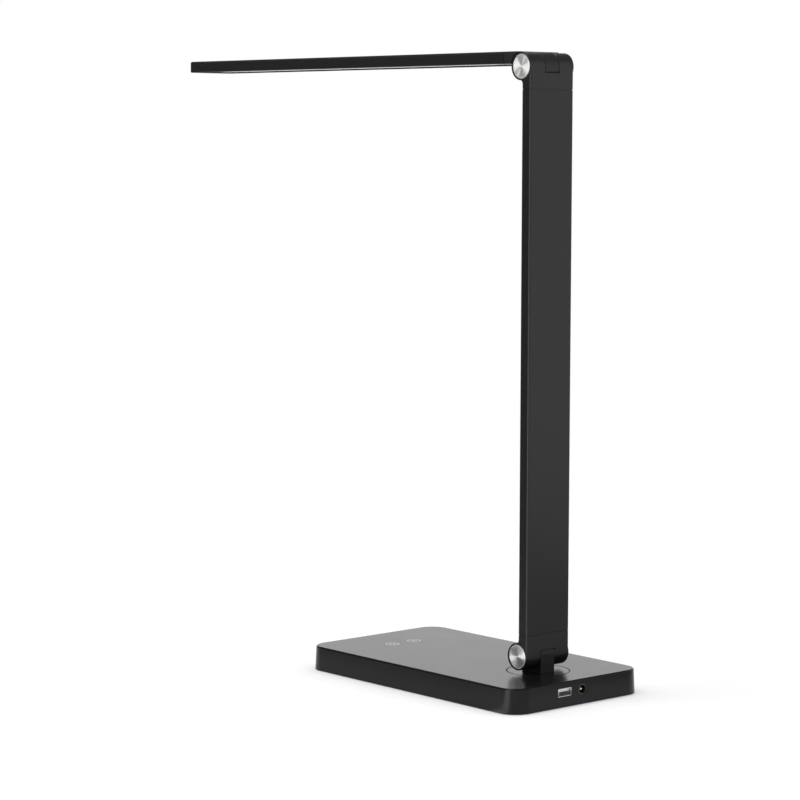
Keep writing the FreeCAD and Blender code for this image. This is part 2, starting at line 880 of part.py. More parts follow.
def arm_end(label, height, turned):
    """End piece of the post: two cheeks round the hinge axis, a slot and a tenon."""
    body = new_body(label)
    across, along = web_centre()
    touch = S.barrel_radius / (S.barrel_radius + S.web_radius)
    deep = flat_middle()
    web = new_sketch(body, SIDE)
    outline(web, [
        (across * touch, along * touch),
        (deep, S.web_foot),
        (deep, along),
        (S.flat_near, along, -S.web_radius),
    ])
    ridge = pad(web, S.flat_wide, both_ways=True)

    def on_hollow(edge):
        return edge.Curve.TypeId == "Part::GeomCircle"
    round_edges(ridge, S.flat_corner, on_hollow)

    post_section(new_sketch(body, PLAN), 0, S.flat_corner, S.end_length - S.joint_line)

    turn(drum(body, S.barrel_long, S.barrel_radius, S.barrel_bevel))

    # Sunk line at the joint, then the tenon that fills the post
    post_section(new_sketch(body, PLAN, S.end_length - S.joint_line - S.fuse), S.joint_deep,
                 S.flat_corner - S.joint_deep, S.joint_line + S.fuse)
    post_section(new_sketch(body, PLAN, S.end_length), S.post_wall + S.close_gap, S.tenon_corner,
                 S.tenon_length)

    slot = new_sketch(body, PLAN)
    side = S.knuckle_wide / 2 + S.free_gap
    mouth = S.barrel_radius - S.slot_bevel
    flare = side + S.slot_bevel
    outline(slot, [
        (-side, 0),
        (side, 0),
        (side, mouth),
        (flare, S.barrel_radius),
        (flare, S.pocket_radius),
        (-flare, S.pocket_radius),
        (-flare, S.barrel_radius),
        (-side, mouth),
    ])
    turn(slot, "Groove")
    seats = new_sketch(body, SIDE)
    circle(seats, S.washer_radius + S.close_gap)
    pocket(seats, S.knuckle_wide + 2 * S.free_gap + 2 * S.washer_thick, both_ways=True)
    bore = new_sketch(body, SIDE)
    circle(bore, S.pin_radius)
    pocket(bore, S.barrel_long + S.fuse, both_ways=True)
    for backwards in (False, True):
        outward = -1 if backwards else 1
        for radius, start in ((S.cap_radius, S.barrel_long / 2 - S.cap_sunk - S.cap_thick),
                              (S.nut_room, S.nut_seat)):
            room = new_sketch(body, SIDE, outward * start)
            circle(room, radius)
            pocket(room, S.barrel_long / 2 - start + S.fuse, backwards=not backwards)
    wires = new_sketch(body, PLAN, S.end_length + S.tenon_length)
    cable_section(wires, S.cable_room)
    pocket(wires, S.end_length + S.tenon_length - S.washer_radius)
    return move(body, y=S.swivel_y, z=height, turned=turned)


def post():
    """Hollow flat extrusion between the two end pieces."""
    body = new_body("post")
    section = new_sketch(body, PLAN, S.lower_axis + S.end_length)
    inner = S.flat_wide / 2 - S.post_wall
    soft_rectangle(section, -inner, inner, S.flat_near + S.post_wall, S.flat_far - S.post_wall,
                   S.flat_corner - S.post_wall)
    post_section(section, 0, S.flat_corner, S.upper_axis - S.lower_axis - 2 * S.end_length)
    return move(body, y=S.swivel_y)


def cable_section(sketch, room):
    """Flat section in the post's middle, as much larger than the cable as the room says."""
    side = S.cable_half + room
    half = S.cable_thick / 2 + room
    soft_rectangle(sketch, -side, side, flat_middle() - half, flat_middle() + half, S.tenon_corner)


def arm_cable():
    """Flat cable from the lower tenon to the upper one."""
    body = new_body("arm_cable")
    start = S.lower_axis + S.end_length - S.cable_inside
    section = new_sketch(body, PLAN, start)
    cable_section(section, 0)
    pad(section, S.upper_axis - S.end_length + S.cable_inside - start)
    return move(body, y=S.swivel_y)


def hinge_cap(label, height, outward):
    """Spun metal disc let into the end of a barrel, with a bevelled rim and a faint dish."""
    body = new_body(label)
    inner = S.barrel_long / 2 - S.cap_sunk - S.cap_thick
    rim = S.cap_radius - S.pin_gap
    half = new_sketch(body, PLAN)
    outline(half, [
        (outward * inner, 0),
        (outward * inner, rim),
        (outward * (inner + S.cap_thick - S.cap_bevel), rim),
        (outward * (inner + S.cap_thick), rim - S.cap_bevel),
        (outward * (inner + S.cap_thick - S.cap_dish), 0),
    ])
    turn(half)
    return move(body, y=S.swivel_y, z=height)


def hinge_pin(label, height):
    """Shouldered pin: round head in the right cheek, shank through to the left one."""
    body = new_body(label)
    shank = new_sketch(body, SIDE, -S.pin_long)
    circle(shank, S.pin_radius)
    pad(shank, S.nut_seat + S.pin_long)
    head = new_sketch(body, SIDE, S.nut_seat)
    circle(head, S.pin_head)
    pad(head, S.pin_head_thick)
    return move(body, y=S.swivel_y, z=height)


def hinge_nut(label, height):
    """Hexagon nut on the pin's left end."""
    body = new_body(label)
    nut = new_sketch(body, SIDE, -(S.nut_seat + S.spring_thick))
    outline(nut, ring_of_points(S.nut_corner, range(0, 360, 60)))
    circle(nut, S.pin_radius)
    pad(nut, S.nut_thick, backwards=True)
    return move(body, y=S.swivel_y, z=height)


def spring_washer(label, height):
    """Keeps the hinge's clamping force steady as the discs wear."""
    body = new_body(label)
    ring = new_sketch(body, SIDE, -S.nut_seat)
    circle(ring, S.spring_radius)
    circle(ring, S.pin_radius)
    pad(ring, S.spring_thick, backwards=True)
    return move(body, y=S.swivel_y, z=height)


def friction_washers(label, height):
    """Two washers let into the cheeks beside the knuckle."""
    body = new_body(label)
    inner = S.knuckle_wide / 2 + S.free_gap
    for outward in (1, -1):
        ring = new_sketch(body, SIDE, outward * inner)
        circle(ring, S.washer_radius)
        circle(ring, S.pin_radius)
        pad(ring, S.washer_thick, backwards=outward < 0)
    return move(body, y=S.swivel_y, z=height)


# Head

def head_end():
    """Middle knuckle of the upper hinge, the shoulders that clear the cheeks, and a tenon."""
    body = new_body("head_end")
    half = S.flat_wide / 2
    line = S.head_joint - S.joint_line
    for start, stop, inset in ((S.head_lip, line, 0), (line - S.fuse, S.head_joint, S.joint_deep)):
        flat = new_sketch(body, FRONT, start)
        soft_rectangle(flat, inset - half, half - inset, S.head_low + inset, S.head_top - inset,
                       S.head_edge - inset)
        pad(flat, stop - start)
    hollow = new_sketch(body, SIDE)
    circle(hollow, S.barrel_radius + S.head_hollow)
    pocket(hollow, S.barrel_long + S.fuse, both_ways=True)
    neck = new_sketch(body, SIDE)
    outline(neck, [
        (-S.head_joint + S.neck_drop, S.head_low),
        (-S.neck_run, S.head_low),
        (0, S.barrel_radius - S.neck_drop),
        (0, S.barrel_radius),
        (-S.neck_run, S.head_top),
        (-S.head_joint + S.neck_drop, S.head_top),
    ])
    pad(neck, S.knuckle_wide, both_ways=True)
    turn(drum(body, S.knuckle_wide, S.barrel_radius, S.slot_bevel))
    tenon = new_sketch(body, FRONT, S.head_joint)
    loose = S.head_wall + S.close_gap
    rectangle(tenon, -half + loose, half - loose, S.head_low + S.bridge_thick + S.close_gap,
              S.head_top - loose)
    pad(tenon, S.tenon_length)
    bore = new_sketch(body, SIDE)
    circle(bore, S.pin_radius + S.pin_gap)
    pocket(bore, S.barrel_long, both_ways=True)
    wires = new_sketch(body, FRONT, S.head_joint + S.tenon_length)
    rectangle(wires, -S.head_wires_half, S.head_wires_half, S.head_wires_low, S.head_wires_high)
    pocket(wires, S.head_joint + S.tenon_length - S.head_wires_end)
    return move(body, y=S.swivel_y, z=S.upper_axis)


def head_plan(sketch, inset, start):
    """The head's plan outline, square at the joint and round at the tip."""
    half = S.flat_wide / 2 - inset
    radius = S.head_corner - inset
    tip = -(S.head_tip - inset)
    outline(sketch, [
        (-half + radius, tip),
        (half - radius, tip, radius),
        (half, tip + radius),
        (half, -start),
        (-half, -start),
        (-half, tip + radius, radius),
    ])


def head_housing():
    """Tray of the lamp head, open below, with a seat for the diffuser."""
    body = new_body("head_housing")
    tray = new_sketch(body, PLAN, S.head_low)
    head_plan(tray, 0, S.head_joint)
    block = pad(tray, S.head_top - S.head_low)
    joint = -S.head_joint.number
    for height, radius in ((S.head_top, S.head_edge), (S.head_low, S.head_low_edge)):
        level = in_plane("Z", height)
        block = round_edges(block, radius,
                            lambda edge, level=level: level(edge) and edge.BoundBox.YMin < joint - 0.01)
    inside = new_sketch(body, PLAN, S.head_low)
    head_plan(inside, S.head_wall, S.head_joint - S.fuse)
    pocket(inside, S.head_top - S.head_low - S.head_wall, backwards=True)
    # Floor under the end piece's tenon
    bridge = new_sketch(body, PLAN, S.head_low)
    half = S.flat_wide / 2 - S.head_wall + S.fuse
    rectangle(bridge, -half, half, -(S.head_joint + S.tenon_length), -S.head_joint)
    pad(bridge, S.bridge_thick)
    return move(body, y=S.swivel_y, z=S.upper_axis)


def board_reach():
    """Start and end of the light field, in front of the hinge axis."""
    near = S.head_joint + S.tenon_length + S.led_near_gap
    return near, S.head_tip - S.head_wall - S.led_far_gap


def board_seat():
    """Lower face of the strip board."""
    return S.head_top - S.head_wall - S.led_board_thick


def led_board():
    """Aluminium strip board under the tray's roof."""
    body = new_body("led_board")
    start, stop = board_reach()
    board = new_sketch(body, PLAN, board_seat())
    rectangle(board, -S.led_board_side, S.led_board_side, -stop, -start)
    pad(board, S.led_board_thick)
    holes = new_sketch(body, PLAN, board_seat())
    for y in board_screw_places():
        circle(holes, S.small_screw + S.close_gap, 0, -y)
    pocket(holes, S.led_board_thick, backwards=True)
    return move(body, y=S.swivel_y, z=S.upper_axis)


def board_screw_places():
    start, stop = board_reach()
    span = stop - start
    return [start + span * share for share in BOARD_SCREW_SHARES]


# Where the screws sit along the strip board, and the number of diode pairs
BOARD_SCREW_SHARES = (0.02, 0.34, 0.66, 0.98)
LED_COUNT = 24


def led_chips():
    """Two rows of light-emitting diodes, one pair repeated along the head."""
    body = new_body("led_chips")
    start, stop = board_reach()
    first = (start + stop) / 2 - S.led_pitch * (LED_COUNT - 1) / 2
    pair = new_sketch(body, PLAN, board_seat() - S.chip_thick)
    for x in (-S.led_row_x, S.led_row_x):
        rectangle(pair, x - S.chip_wide / 2, x + S.chip_wide / 2,
                  -first - S.chip_long / 2, -first + S.chip_long / 2)
    raised = pad(pair, S.chip_thick)
    rows = body.newObject("PartDesign::LinearPattern", "led_rows")
    rows.Originals = [raised]
    rows.Direction = (pair, ["V_Axis"])
    rows.Reversed = True
    rows.Occurrences = LED_COUNT
    bind(rows, "Length", S.led_pitch * (LED_COUNT - 1))
    body.Tip = rows
    doc.recompute()
    return move(body, y=S.swivel_y, z=S.upper_axis)


def reflector():
    """White frame that lines the light field."""
    body = new_body("reflector")
    start, stop = board_reach()
    floor = S.head_low + S.diffuser_sunk + S.diffuser_thick
    ring = new_sketch(body, PLAN, floor)
    for inset in (0, S.reflector_wall):
        side = S.reflector_side - inset
        rectangle(ring, -side, side, -stop + inset, -start - inset)
    pad(ring, board_seat() - floor)
    return move(body, y=S.swivel_y, z=S.upper_axis)


def diffuser():
    """Opal panel let into the tray's mouth."""
    body = new_body("diffuser")
    panel = new_sketch(body, PLAN, S.head_low + S.diffuser_sunk)
    head_plan(panel, S.head_wall + S.diffuser_gap, S.head_joint + S.tenon_length + S.diffuser_gap)
    pad(panel, S.diffuser_thick)
    return move(body, y=S.swivel_y, z=S.upper_axis)


def board_screws():
    """Four small screws that press the strip board to the roof."""
    body = new_body("board_screws")
    shafts = new_sketch(body, PLAN, board_seat())
    heads = new_sketch(body, PLAN, board_seat() - S.small_head_thick)
    for y in board_screw_places():
        circle(shafts, S.small_screw, 0, -y)
        circle(heads, S.small_head, 0, -y)
    pad(shafts, S.led_board_thick)
    pad(heads, S.small_head_thick)
    return move(body, y=S.swivel_y, z=S.upper_axis)


def build():
    parts = [
        base_housing(), base_bottom_plate(), ballast_plate(), control_board(), touch_pads(),
        power_board(), usb_socket_shell(), usb_socket_tongue(), dc_inlet_body(), dc_inlet_pin(),
        base_screws(), anti_slip_pad(),
        turntable_disc(), lower_knuckle(), knuckle_screws(), retaining_ring(), ring_screws(),
        wave_washer(),
        arm_end("arm_lower_end", S.lower_axis, False), post(),
        arm_end("arm_upper_end", S.upper_axis, True), arm_cable(),
        head_end(), head_housing(), led_board(), led_chips(), reflector(), diffuser(),
        board_screws(),
    ]
    for level, height in (("lower", S.lower_axis), ("upper", S.upper_axis)):
        parts.append(hinge_cap(f"{level}_cap_right", height, 1))
        parts.append(hinge_cap(f"{level}_cap_left", height, -1))
        parts.append(hinge_pin(f"{level}_hinge_pin", height))
        parts.append(hinge_nut(f"{level}_hinge_nut", height))
        parts.append(spring_washer(f"{level}_spring_washer", height))
        parts.append(friction_washers(f"{level}_friction_washers", height))
    return parts


def export(parts):
    doc.recompute()
    for item in doc.Objects:
        if "Invalid" in item.State or "Error" in item.State:
            raise RuntimeError(f"{item.Label} did not compute")
    for part in parts:
        if part.Shape.isNull() or not part.Shape.isValid() or not part.Shape.Solids:
            raise RuntimeError(f"{part.Label} is not a sound solid")
    os.makedirs("parts", exist_ok=True)
    for part in parts:
        part.Shape.exportStep(f"parts/{part.Label}.step")
        box = part.Shape.optimalBoundingBox(False, False)
        print(f"{part.Label}: {len(part.Shape.Solids)} solid, {part.Shape.Volume:.0f} mm3, "
              f"X {box.XMin:.2f}..{box.XMax:.2f} Y {box.YMin:.2f}..{box.YMax:.2f} "
              f"Z {box.ZMin:.2f}..{box.ZMax:.2f}")


export(build())
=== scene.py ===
"""Folding LED desk lamp: finishes, spun caps, touch marks, studio and camera.

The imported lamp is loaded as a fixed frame. Each operator below finishes one group of its pieces,
and the last one builds the studio. All sizes are in metres, in the lamp's own frame: the table is
at Z 0, the user sits towards -Y and the sockets look towards +Y.
"""

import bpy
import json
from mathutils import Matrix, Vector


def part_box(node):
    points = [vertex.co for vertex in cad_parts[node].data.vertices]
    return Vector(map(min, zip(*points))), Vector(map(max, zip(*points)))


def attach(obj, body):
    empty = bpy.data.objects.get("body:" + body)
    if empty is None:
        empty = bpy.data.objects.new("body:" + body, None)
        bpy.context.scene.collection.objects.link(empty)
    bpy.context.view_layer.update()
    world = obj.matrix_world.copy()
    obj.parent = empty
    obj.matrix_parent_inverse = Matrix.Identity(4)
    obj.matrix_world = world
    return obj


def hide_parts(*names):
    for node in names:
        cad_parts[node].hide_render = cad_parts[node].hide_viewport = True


bl_info = {
    "name": "Folding LED Desk Lamp",
    "version": (1, 0, 0),
    "blender": (4, 5, 0),
    "location": "3D View > Sidebar > Desk Lamp",
    "description": "Finishes a folding LED desk lamp and sets up its studio",
    "category": "Object",
}

import json
import math

import bmesh
import bpy
from bpy.props import FloatProperty, FloatVectorProperty, IntProperty, PointerProperty
from mathutils import Matrix, Vector

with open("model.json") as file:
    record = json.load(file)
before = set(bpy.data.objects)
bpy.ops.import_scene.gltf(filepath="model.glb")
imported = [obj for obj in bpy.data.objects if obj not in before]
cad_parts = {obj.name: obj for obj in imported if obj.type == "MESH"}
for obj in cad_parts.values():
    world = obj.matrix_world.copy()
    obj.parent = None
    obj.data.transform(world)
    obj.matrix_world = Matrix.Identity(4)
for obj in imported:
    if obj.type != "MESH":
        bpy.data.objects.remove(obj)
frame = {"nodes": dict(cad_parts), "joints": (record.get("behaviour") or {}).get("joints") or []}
NODES = frame["nodes"]
JOINTS = {joint["name"]: joint for joint in frame["joints"]}
LOWER_AXIS = Vector(JOINTS["arm_tilt"]["pos_m"])
UPPER_AXIS = Vector(JOINTS["head_tilt"]["pos_m"])
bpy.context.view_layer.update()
MM = 0.001
# Corners of a mesh that are closer than this are one
WELD = 1e-7
# Width and height of a cell of the grid on which shader nodes are laid out
GRID = (200, 160)


class LampFinish(bpy.types.PropertyGroup):
    """Colours and gloss of the lamp's outside."""

    moulding: FloatVectorProperty(
        name="Base moulding", description="Colour of the base's moulded housing",
        subtype="COLOR", size=3, min=0, max=1, default=(0.006, 0.006, 0.0063))
    coat: FloatVectorProperty(
        name="Coating", description="Colour of the satin coating on the post and the head",
        subtype="COLOR", size=3, min=0, max=1, default=(0.0062, 0.0064, 0.0072))
    ends: FloatVectorProperty(
        name="Hinge pieces", description="Colour of the moulded hinge pieces",
        subtype="COLOR", size=3, min=0, max=1, default=(0.0075, 0.0075, 0.0078))
    moulding_gloss: FloatProperty(
        name="Base roughness", description="Roughness of the base's top and sides",
        subtype="FACTOR", min=0, max=1, default=0.24)
    coat_gloss: FloatProperty(
        name="Coating roughness", description="Roughness of the post, the head and the hinge pieces",
        subtype="FACTOR", min=0, max=1, default=0.38)
    opal: FloatVectorProperty(
        name="Opal panel", description="Colour of the panel under the head",
        subtype="COLOR", size=3, min=0, max=1, default=(0.86, 0.87, 0.87))


class LampCaps(bpy.types.PropertyGroup):
    """Sizes of the spun metal caps in the hinge barrels."""

    chamfer: FloatProperty(
        name="Bright rim", description="Width of the polished chamfer round a cap",
        unit="LENGTH", min=0.1 * MM, max=1.5 * MM, default=1.05 * MM)
    fall: FloatProperty(
        name="Rim fall", description="Depth by which the chamfer falls outwards",
        unit="LENGTH", min=0.1 * MM, max=1.2 * MM, default=0.5 * MM)
    dish: FloatProperty(
        name="Dish", description="Depth of the spun face at its middle",
        unit="LENGTH", min=0, max=0.6 * MM, default=0.22 * MM)
    rings: IntProperty(
        name="Rings", description="Steps in which the face is dished", min=4, max=24, default=11)
    groove: FloatProperty(
        name="Groove pitch", description="Distance between the fine turned grooves",
        unit="LENGTH", min=0.02 * MM, max=1 * MM, default=0.11 * MM)


class LampMarks(bpy.types.PropertyGroup):
    """Sizes of the printed touch marks on the base."""

    ring: FloatProperty(
        name="Ring", description="Outer radius of a ring",
        unit="LENGTH", min=2 * MM, max=10 * MM, default=5.2 * MM)
    line: FloatProperty(
        name="Line", description="Width of the printed lines",
        unit="LENGTH", min=0.2 * MM, max=1.5 * MM, default=0.62 * MM)
    ink: FloatProperty(
        name="Ink", description="Thickness of the print",
        unit="LENGTH", min=0.005 * MM, max=0.1 * MM, default=0.03 * MM)
    row: FloatProperty(
        name="Row", description="Place of both rings along the base",
        unit="LENGTH", default=-74.6 * MM)
    colour: FloatVectorProperty(
        name="Print colour", description="Colour of the print",
        subtype="COLOR", size=3, min=0, max=1, default=(0.78, 0.78, 0.78))


class LampStudio(bpy.types.PropertyGroup):
    """Camera and light."""

    azimuth: FloatProperty(
        name="Azimuth", description="Direction of the camera round the lamp",
        subtype="ANGLE", unit="ROTATION", default=math.radians(138.961))
    elevation: FloatProperty(
        name="Elevation", description="Height of the camera above the horizon, as an angle",
        subtype="ANGLE", unit="ROTATION", default=math.radians(5.55))
    roll: FloatProperty(
        name="Roll", description="Turn of the camera about its own line of sight",
        subtype="ANGLE", unit="ROTATION", default=math.radians(0.1486))
    distance: FloatProperty(
        name="Distance", description="From the camera to the point that it looks at",
        unit="LENGTH", default=1.99503)
    target: FloatVectorProperty(
        name="Target", description="Point that the camera looks at",
        subtype="TRANSLATION", unit="LENGTH", size=3, default=(0.041366, -0.034968, 0.210923))
    lens: FloatProperty(
        name="Lens", description="Focal length on a 36 mm sensor", min=10, max=400, default=121.132)
    ambient: FloatProperty(
        name="Ambient", description="Strength of the even light from all round",
        min=0, max=2, default=0.62)
    strip: FloatProperty(
        name="Strip", description="Strength of the upright strip of light in reflections",
        min=0, max=10, default=3.6)


def only_object_mode():
    """Leave edit mode and clear the selection, so that the next operator acts on nothing old."""
    if bpy.context.object and bpy.context.object.mode != "OBJECT":
        bpy.ops.object.mode_set(mode="OBJECT")
    bpy.ops.object.select_all(action="DESELECT")


def alone(piece):
    """Select one piece and make it active."""
    only_object_mode()
    piece.select_set(True)
    bpy.context.view_layer.objects.active = piece


def pick_faces(test):
    """In edit mode, select the faces whose middle and normal pass the test."""
    bpy.ops.mesh.select_mode(type="FACE")
    mesh = bmesh.from_edit_mesh(bpy.context.object.data)
    for face in mesh.faces:
        face.select_set(bool(test(face.calc_center_median(), face.normal)))
    mesh.select_flush_mode()
    bmesh.update_edit_mesh(bpy.context.object.data)


def settle(piece, name):
    """Bring a finished piece to the origin with its place in its mesh, and name it."""
    alone(piece)
    bpy.ops.object.transform_apply(location=True, rotation=True, scale=True)
    bpy.ops.object.mode_set(mode="EDIT")
    bpy.ops.mesh.select_all(action="SELECT")
    bpy.ops.mesh.remove_doubles(threshold=WELD)
    bpy.ops.mesh.normals_make_consistent(inside=False)
    bpy.ops.object.mode_set(mode="OBJECT")
    piece.name = name
    piece.data.name = name
    return piece


def join(pieces):
    """Join pieces into the first one."""
    only_object_mode()
    for piece in pieces:
        piece.select_set(True)
    bpy.context.view_layer.objects.active = pieces[0]
    bpy.ops.object.join()
    return bpy.context.object


def node(tree, kind, x, y, label="", **settings):
    """Add a shader node at a grid place and set its plain properties."""
    made = tree.nodes.new(kind)
    made.location = (x * GRID[0], y * GRID[1])
    made.label = label
    for key, value in settings.items():
        setattr(made, key, value)
    return made


def feed(tree, socket, value):
    """Link a socket to another one, or set it to a plain value; None leaves it alone."""
    if isinstance(value, bpy.types.NodeSocket):
        tree.links.new(value, socket)
    elif value is not None:
        socket.default_value = value


def sum_of(tree, kind, x, y, first, second=None, third=None):
    """Math node; each input is a socket or a number."""
    made = node(tree, "ShaderNodeMath", x, y, operation=kind)
    for socket, value in zip(made.inputs, (first, second, third)):
        feed(tree, socket, value)
    return made.outputs[0]


def vector_of(tree, kind, x, y, first, second=None):
    """Vector Math node; the first input is a socket and the second a plain vector."""
    made = node(tree, "ShaderNodeVectorMath", x, y, operation=kind)
    feed(tree, made.inputs[0], first)
    feed(tree, made.inputs[1], second)
    return made.outputs["Value" if kind in ("LENGTH", "DOT_PRODUCT") else "Vector"]


def ramp(tree, x, y, value, low, high, start=0.0, end=1.0):
    """Map Range node with a smooth step between low and high."""
    made = node(tree, "ShaderNodeMapRange", x, y, interpolation_type="SMOOTHSTEP")
    tree.links.new(value, made.inputs["Value"])
    for key, number in (("From Min", low), ("From Max", high), ("To Min", start), ("To Max", end)):
        made.inputs[key].default_value = number
    return made.outputs["Result"]


def blend(tree, x, y, share, first, second):
    """Mix node for colours."""
    made = node(tree, "ShaderNodeMix", x, y, data_type="RGBA")
    for index, value in ((0, share), (6, first), (7, second)):
        feed(tree, made.inputs[index], value)
    return made.outputs[2]


def noise(tree, x, y, vector, scale, detail=2.0, rough=0.5, dimensions="3D"):
    """Grey value of a noise texture; the scale is a socket or a number."""
    made = node(tree, "ShaderNodeTexNoise", x, y, noise_dimensions=dimensions)
    tree.links.new(vector, made.inputs["W" if dimensions == "1D" else "Vector"])
    for key, value in (("Scale", scale), ("Detail", detail), ("Roughness", rough)):
        feed(tree, made.inputs[key], value)
    return made.outputs["Fac"]


def tinted(tree, x, y, colour, share):
    """A colour scaled by a share."""
    made = node(tree, "ShaderNodeVectorMath", x, y, operation="SCALE")
    tree.links.new(colour, made.inputs[0])
    tree.links.new(share, made.inputs["Scale"])
    return made.outputs[0]


def bumped(tree, x, y, height, normal=None):
    """Normal of a surface that is raised by a height in metres."""
    made = node(tree, "ShaderNodeBump", x, y)
    made.inputs["Strength"].default_value = 1.0
    made.inputs["Distance"].default_value = 1.0
    tree.links.new(height, made.inputs["Height"])
    feed(tree, made.inputs["Normal"], normal)
    return made.outputs[0]


def new_group(name, inputs, outputs):
    """Empty shader node group with named sockets; inputs carry their defaults."""
    tree = bpy.data.node_groups.new(name, "ShaderNodeTree")
    kinds = {"f": "NodeSocketFloat", "c": "NodeSocketColor", "v": "NodeSocketVector"}
    for label, kind, value in inputs:
        socket = tree.interface.new_socket(name=label, in_out="INPUT", socket_type=kinds[kind])
        if value is not None:
            socket.default_value = value
    for label, kind in outputs:
        tree.interface.new_socket(name=label, in_out="OUTPUT", socket_type=kinds[kind])
    entry = node(tree, "NodeGroupInput", -2, 0)
    end = node(tree, "NodeGroupOutput", 8, 0)
    return tree, entry.outputs, end.inputs


# Noise cells per metre in the broad clouds of gloss and colour
SATIN_CLOUDS = 38.0
PEBBLE_CLOUDS = 55.0
# Width of a drawn line as a share of its length
LINE_SHAPE = 0.012
# Change of roughness from the foot of a pebble to its crown
PEBBLE_SHEEN = -0.1
# Circuit board: width and blur of a track, scatter of the pads and the distances at their edge
TRACK_LINE = 0.045
TRACK_BLUR = 0.2
PAD_SCATTER = 0.55
PAD_EDGE = (0.17, 0.14)
# Circuit board: height of a track, roughness of lacquer and pads
TRACK_HEIGHT = 12e-6
LACQUER_ROUGHNESS = 0.3
PAD_ROUGHNESS = 0.42


def satin_grain_group():
    """Fine moulded or coated grain: a slightly uneven colour, gloss and surface."""
    tree, given, out = new_group(
        "Satin grain",
        [("Vector", "v", None), ("Colour", "c", (0.02, 0.02, 0.02, 1)), ("Colour spread", "f", 0.1),
         ("Grain", "f", 3000.0), ("Depth", "f", 0.4e-6), ("Roughness", "f", 0.3),
         ("Roughness spread", "f", 0.04)],
        [("Colour", "c"), ("Roughness", "f"), ("Normal", "v")])
    fine = noise(tree, 0, 1, given["Vector"], given["Grain"], detail=3.0, rough=0.55)
    broad = noise(tree, 0, -1, given["Vector"], SATIN_CLOUDS, detail=4.0, rough=0.6)
    both = sum_of(tree, "ADD", 1, 0, fine, broad)
    around = sum_of(tree, "SUBTRACT", 2, 0, both, 1.0)
    tint = sum_of(tree, "MULTIPLY_ADD", 3, 0, around, given["Colour spread"], 1.0)
    tree.links.new(tinted(tree, 4, 1, given["Colour"], tint), out["Colour"])
    cloud = sum_of(tree, "SUBTRACT", 2, -1, broad, 0.5)
    gloss = sum_of(tree, "MULTIPLY_ADD", 3, -1, cloud, given["Roughness spread"], given["Roughness"])
    tree.links.new(gloss, out["Roughness"])
    height = sum_of(tree, "MULTIPLY", 3, -2, fine, given["Depth"])
    tree.links.new(bumped(tree, 4, -2, height), out["Normal"])
    return tree


def drawn_lines_group():
    """Fine lines left along a drawn or rolled piece; the vector's X and Y run across them."""
    tree, given, out = new_group(
        "Drawn lines",
        [("Vector", "v", None), ("Lines", "f", 4000.0), ("Depth", "f", 0.3e-6),
         ("Roughness", "f", 0.35), ("Roughness spread", "f", 0.08), ("Normal", "v", None)],
        [("Roughness", "f"), ("Normal", "v")])
    squeezed = vector_of(tree, "MULTIPLY", 0, 0, given["Vector"], (1.0, 1.0, LINE_SHAPE))
    lines = noise(tree, 1, 0, squeezed, given["Lines"], detail=2.0, rough=0.6)
    around = sum_of(tree, "SUBTRACT", 2, -1, lines, 0.5)
    gloss = sum_of(tree, "MULTIPLY_ADD", 3, -1, around, given["Roughness spread"], given["Roughness"])
    tree.links.new(gloss, out["Roughness"])
    height = sum_of(tree, "MULTIPLY", 3, 0, lines, given["Depth"])
    tree.links.new(bumped(tree, 4, 0, height, given["Normal"]), out["Normal"])
    return tree


def spun_rings_group():
    """Fine rings turned round the X axis through the vector's origin."""
    tree, given, out = new_group(
        "Spun rings",
        [("Vector", "v", None), ("Pitch", "f", 0.1 * MM), ("Depth", "f", 0.6e-6),
         ("Colour", "c", (0.8, 0.8, 0.79, 1)), ("Colour spread", "f", 0.12),
         ("Roughness", "f", 0.3), ("Roughness spread", "f", 0.1)],
        [("Colour", "c"), ("Roughness", "f"), ("Normal", "v")])
    flat = vector_of(tree, "MULTIPLY", 0, 0, given["Vector"], (0.0, 1.0, 1.0))
    radius = vector_of(tree, "LENGTH", 1, 0, flat)
    turns = sum_of(tree, "DIVIDE", 2, 0, radius, given["Pitch"])
    rings = noise(tree, 3, 0, turns, 1.0, detail=3.0, rough=0.6, dimensions="1D")
    around = sum_of(tree, "SUBTRACT", 4, 0, rings, 0.5)
    tint = sum_of(tree, "MULTIPLY_ADD", 5, 1, around, given["Colour spread"], 1.0)
    tree.links.new(tinted(tree, 6, 1, given["Colour"], tint), out["Colour"])
    gloss = sum_of(tree, "MULTIPLY_ADD", 5, 0, around, given["Roughness spread"], given["Roughness"])
    tree.links.new(gloss, out["Roughness"])
    height = sum_of(tree, "MULTIPLY", 5, -1, rings, given["Depth"])
    tree.links.new(bumped(tree, 6, -1, height), out["Normal"])
    return tree


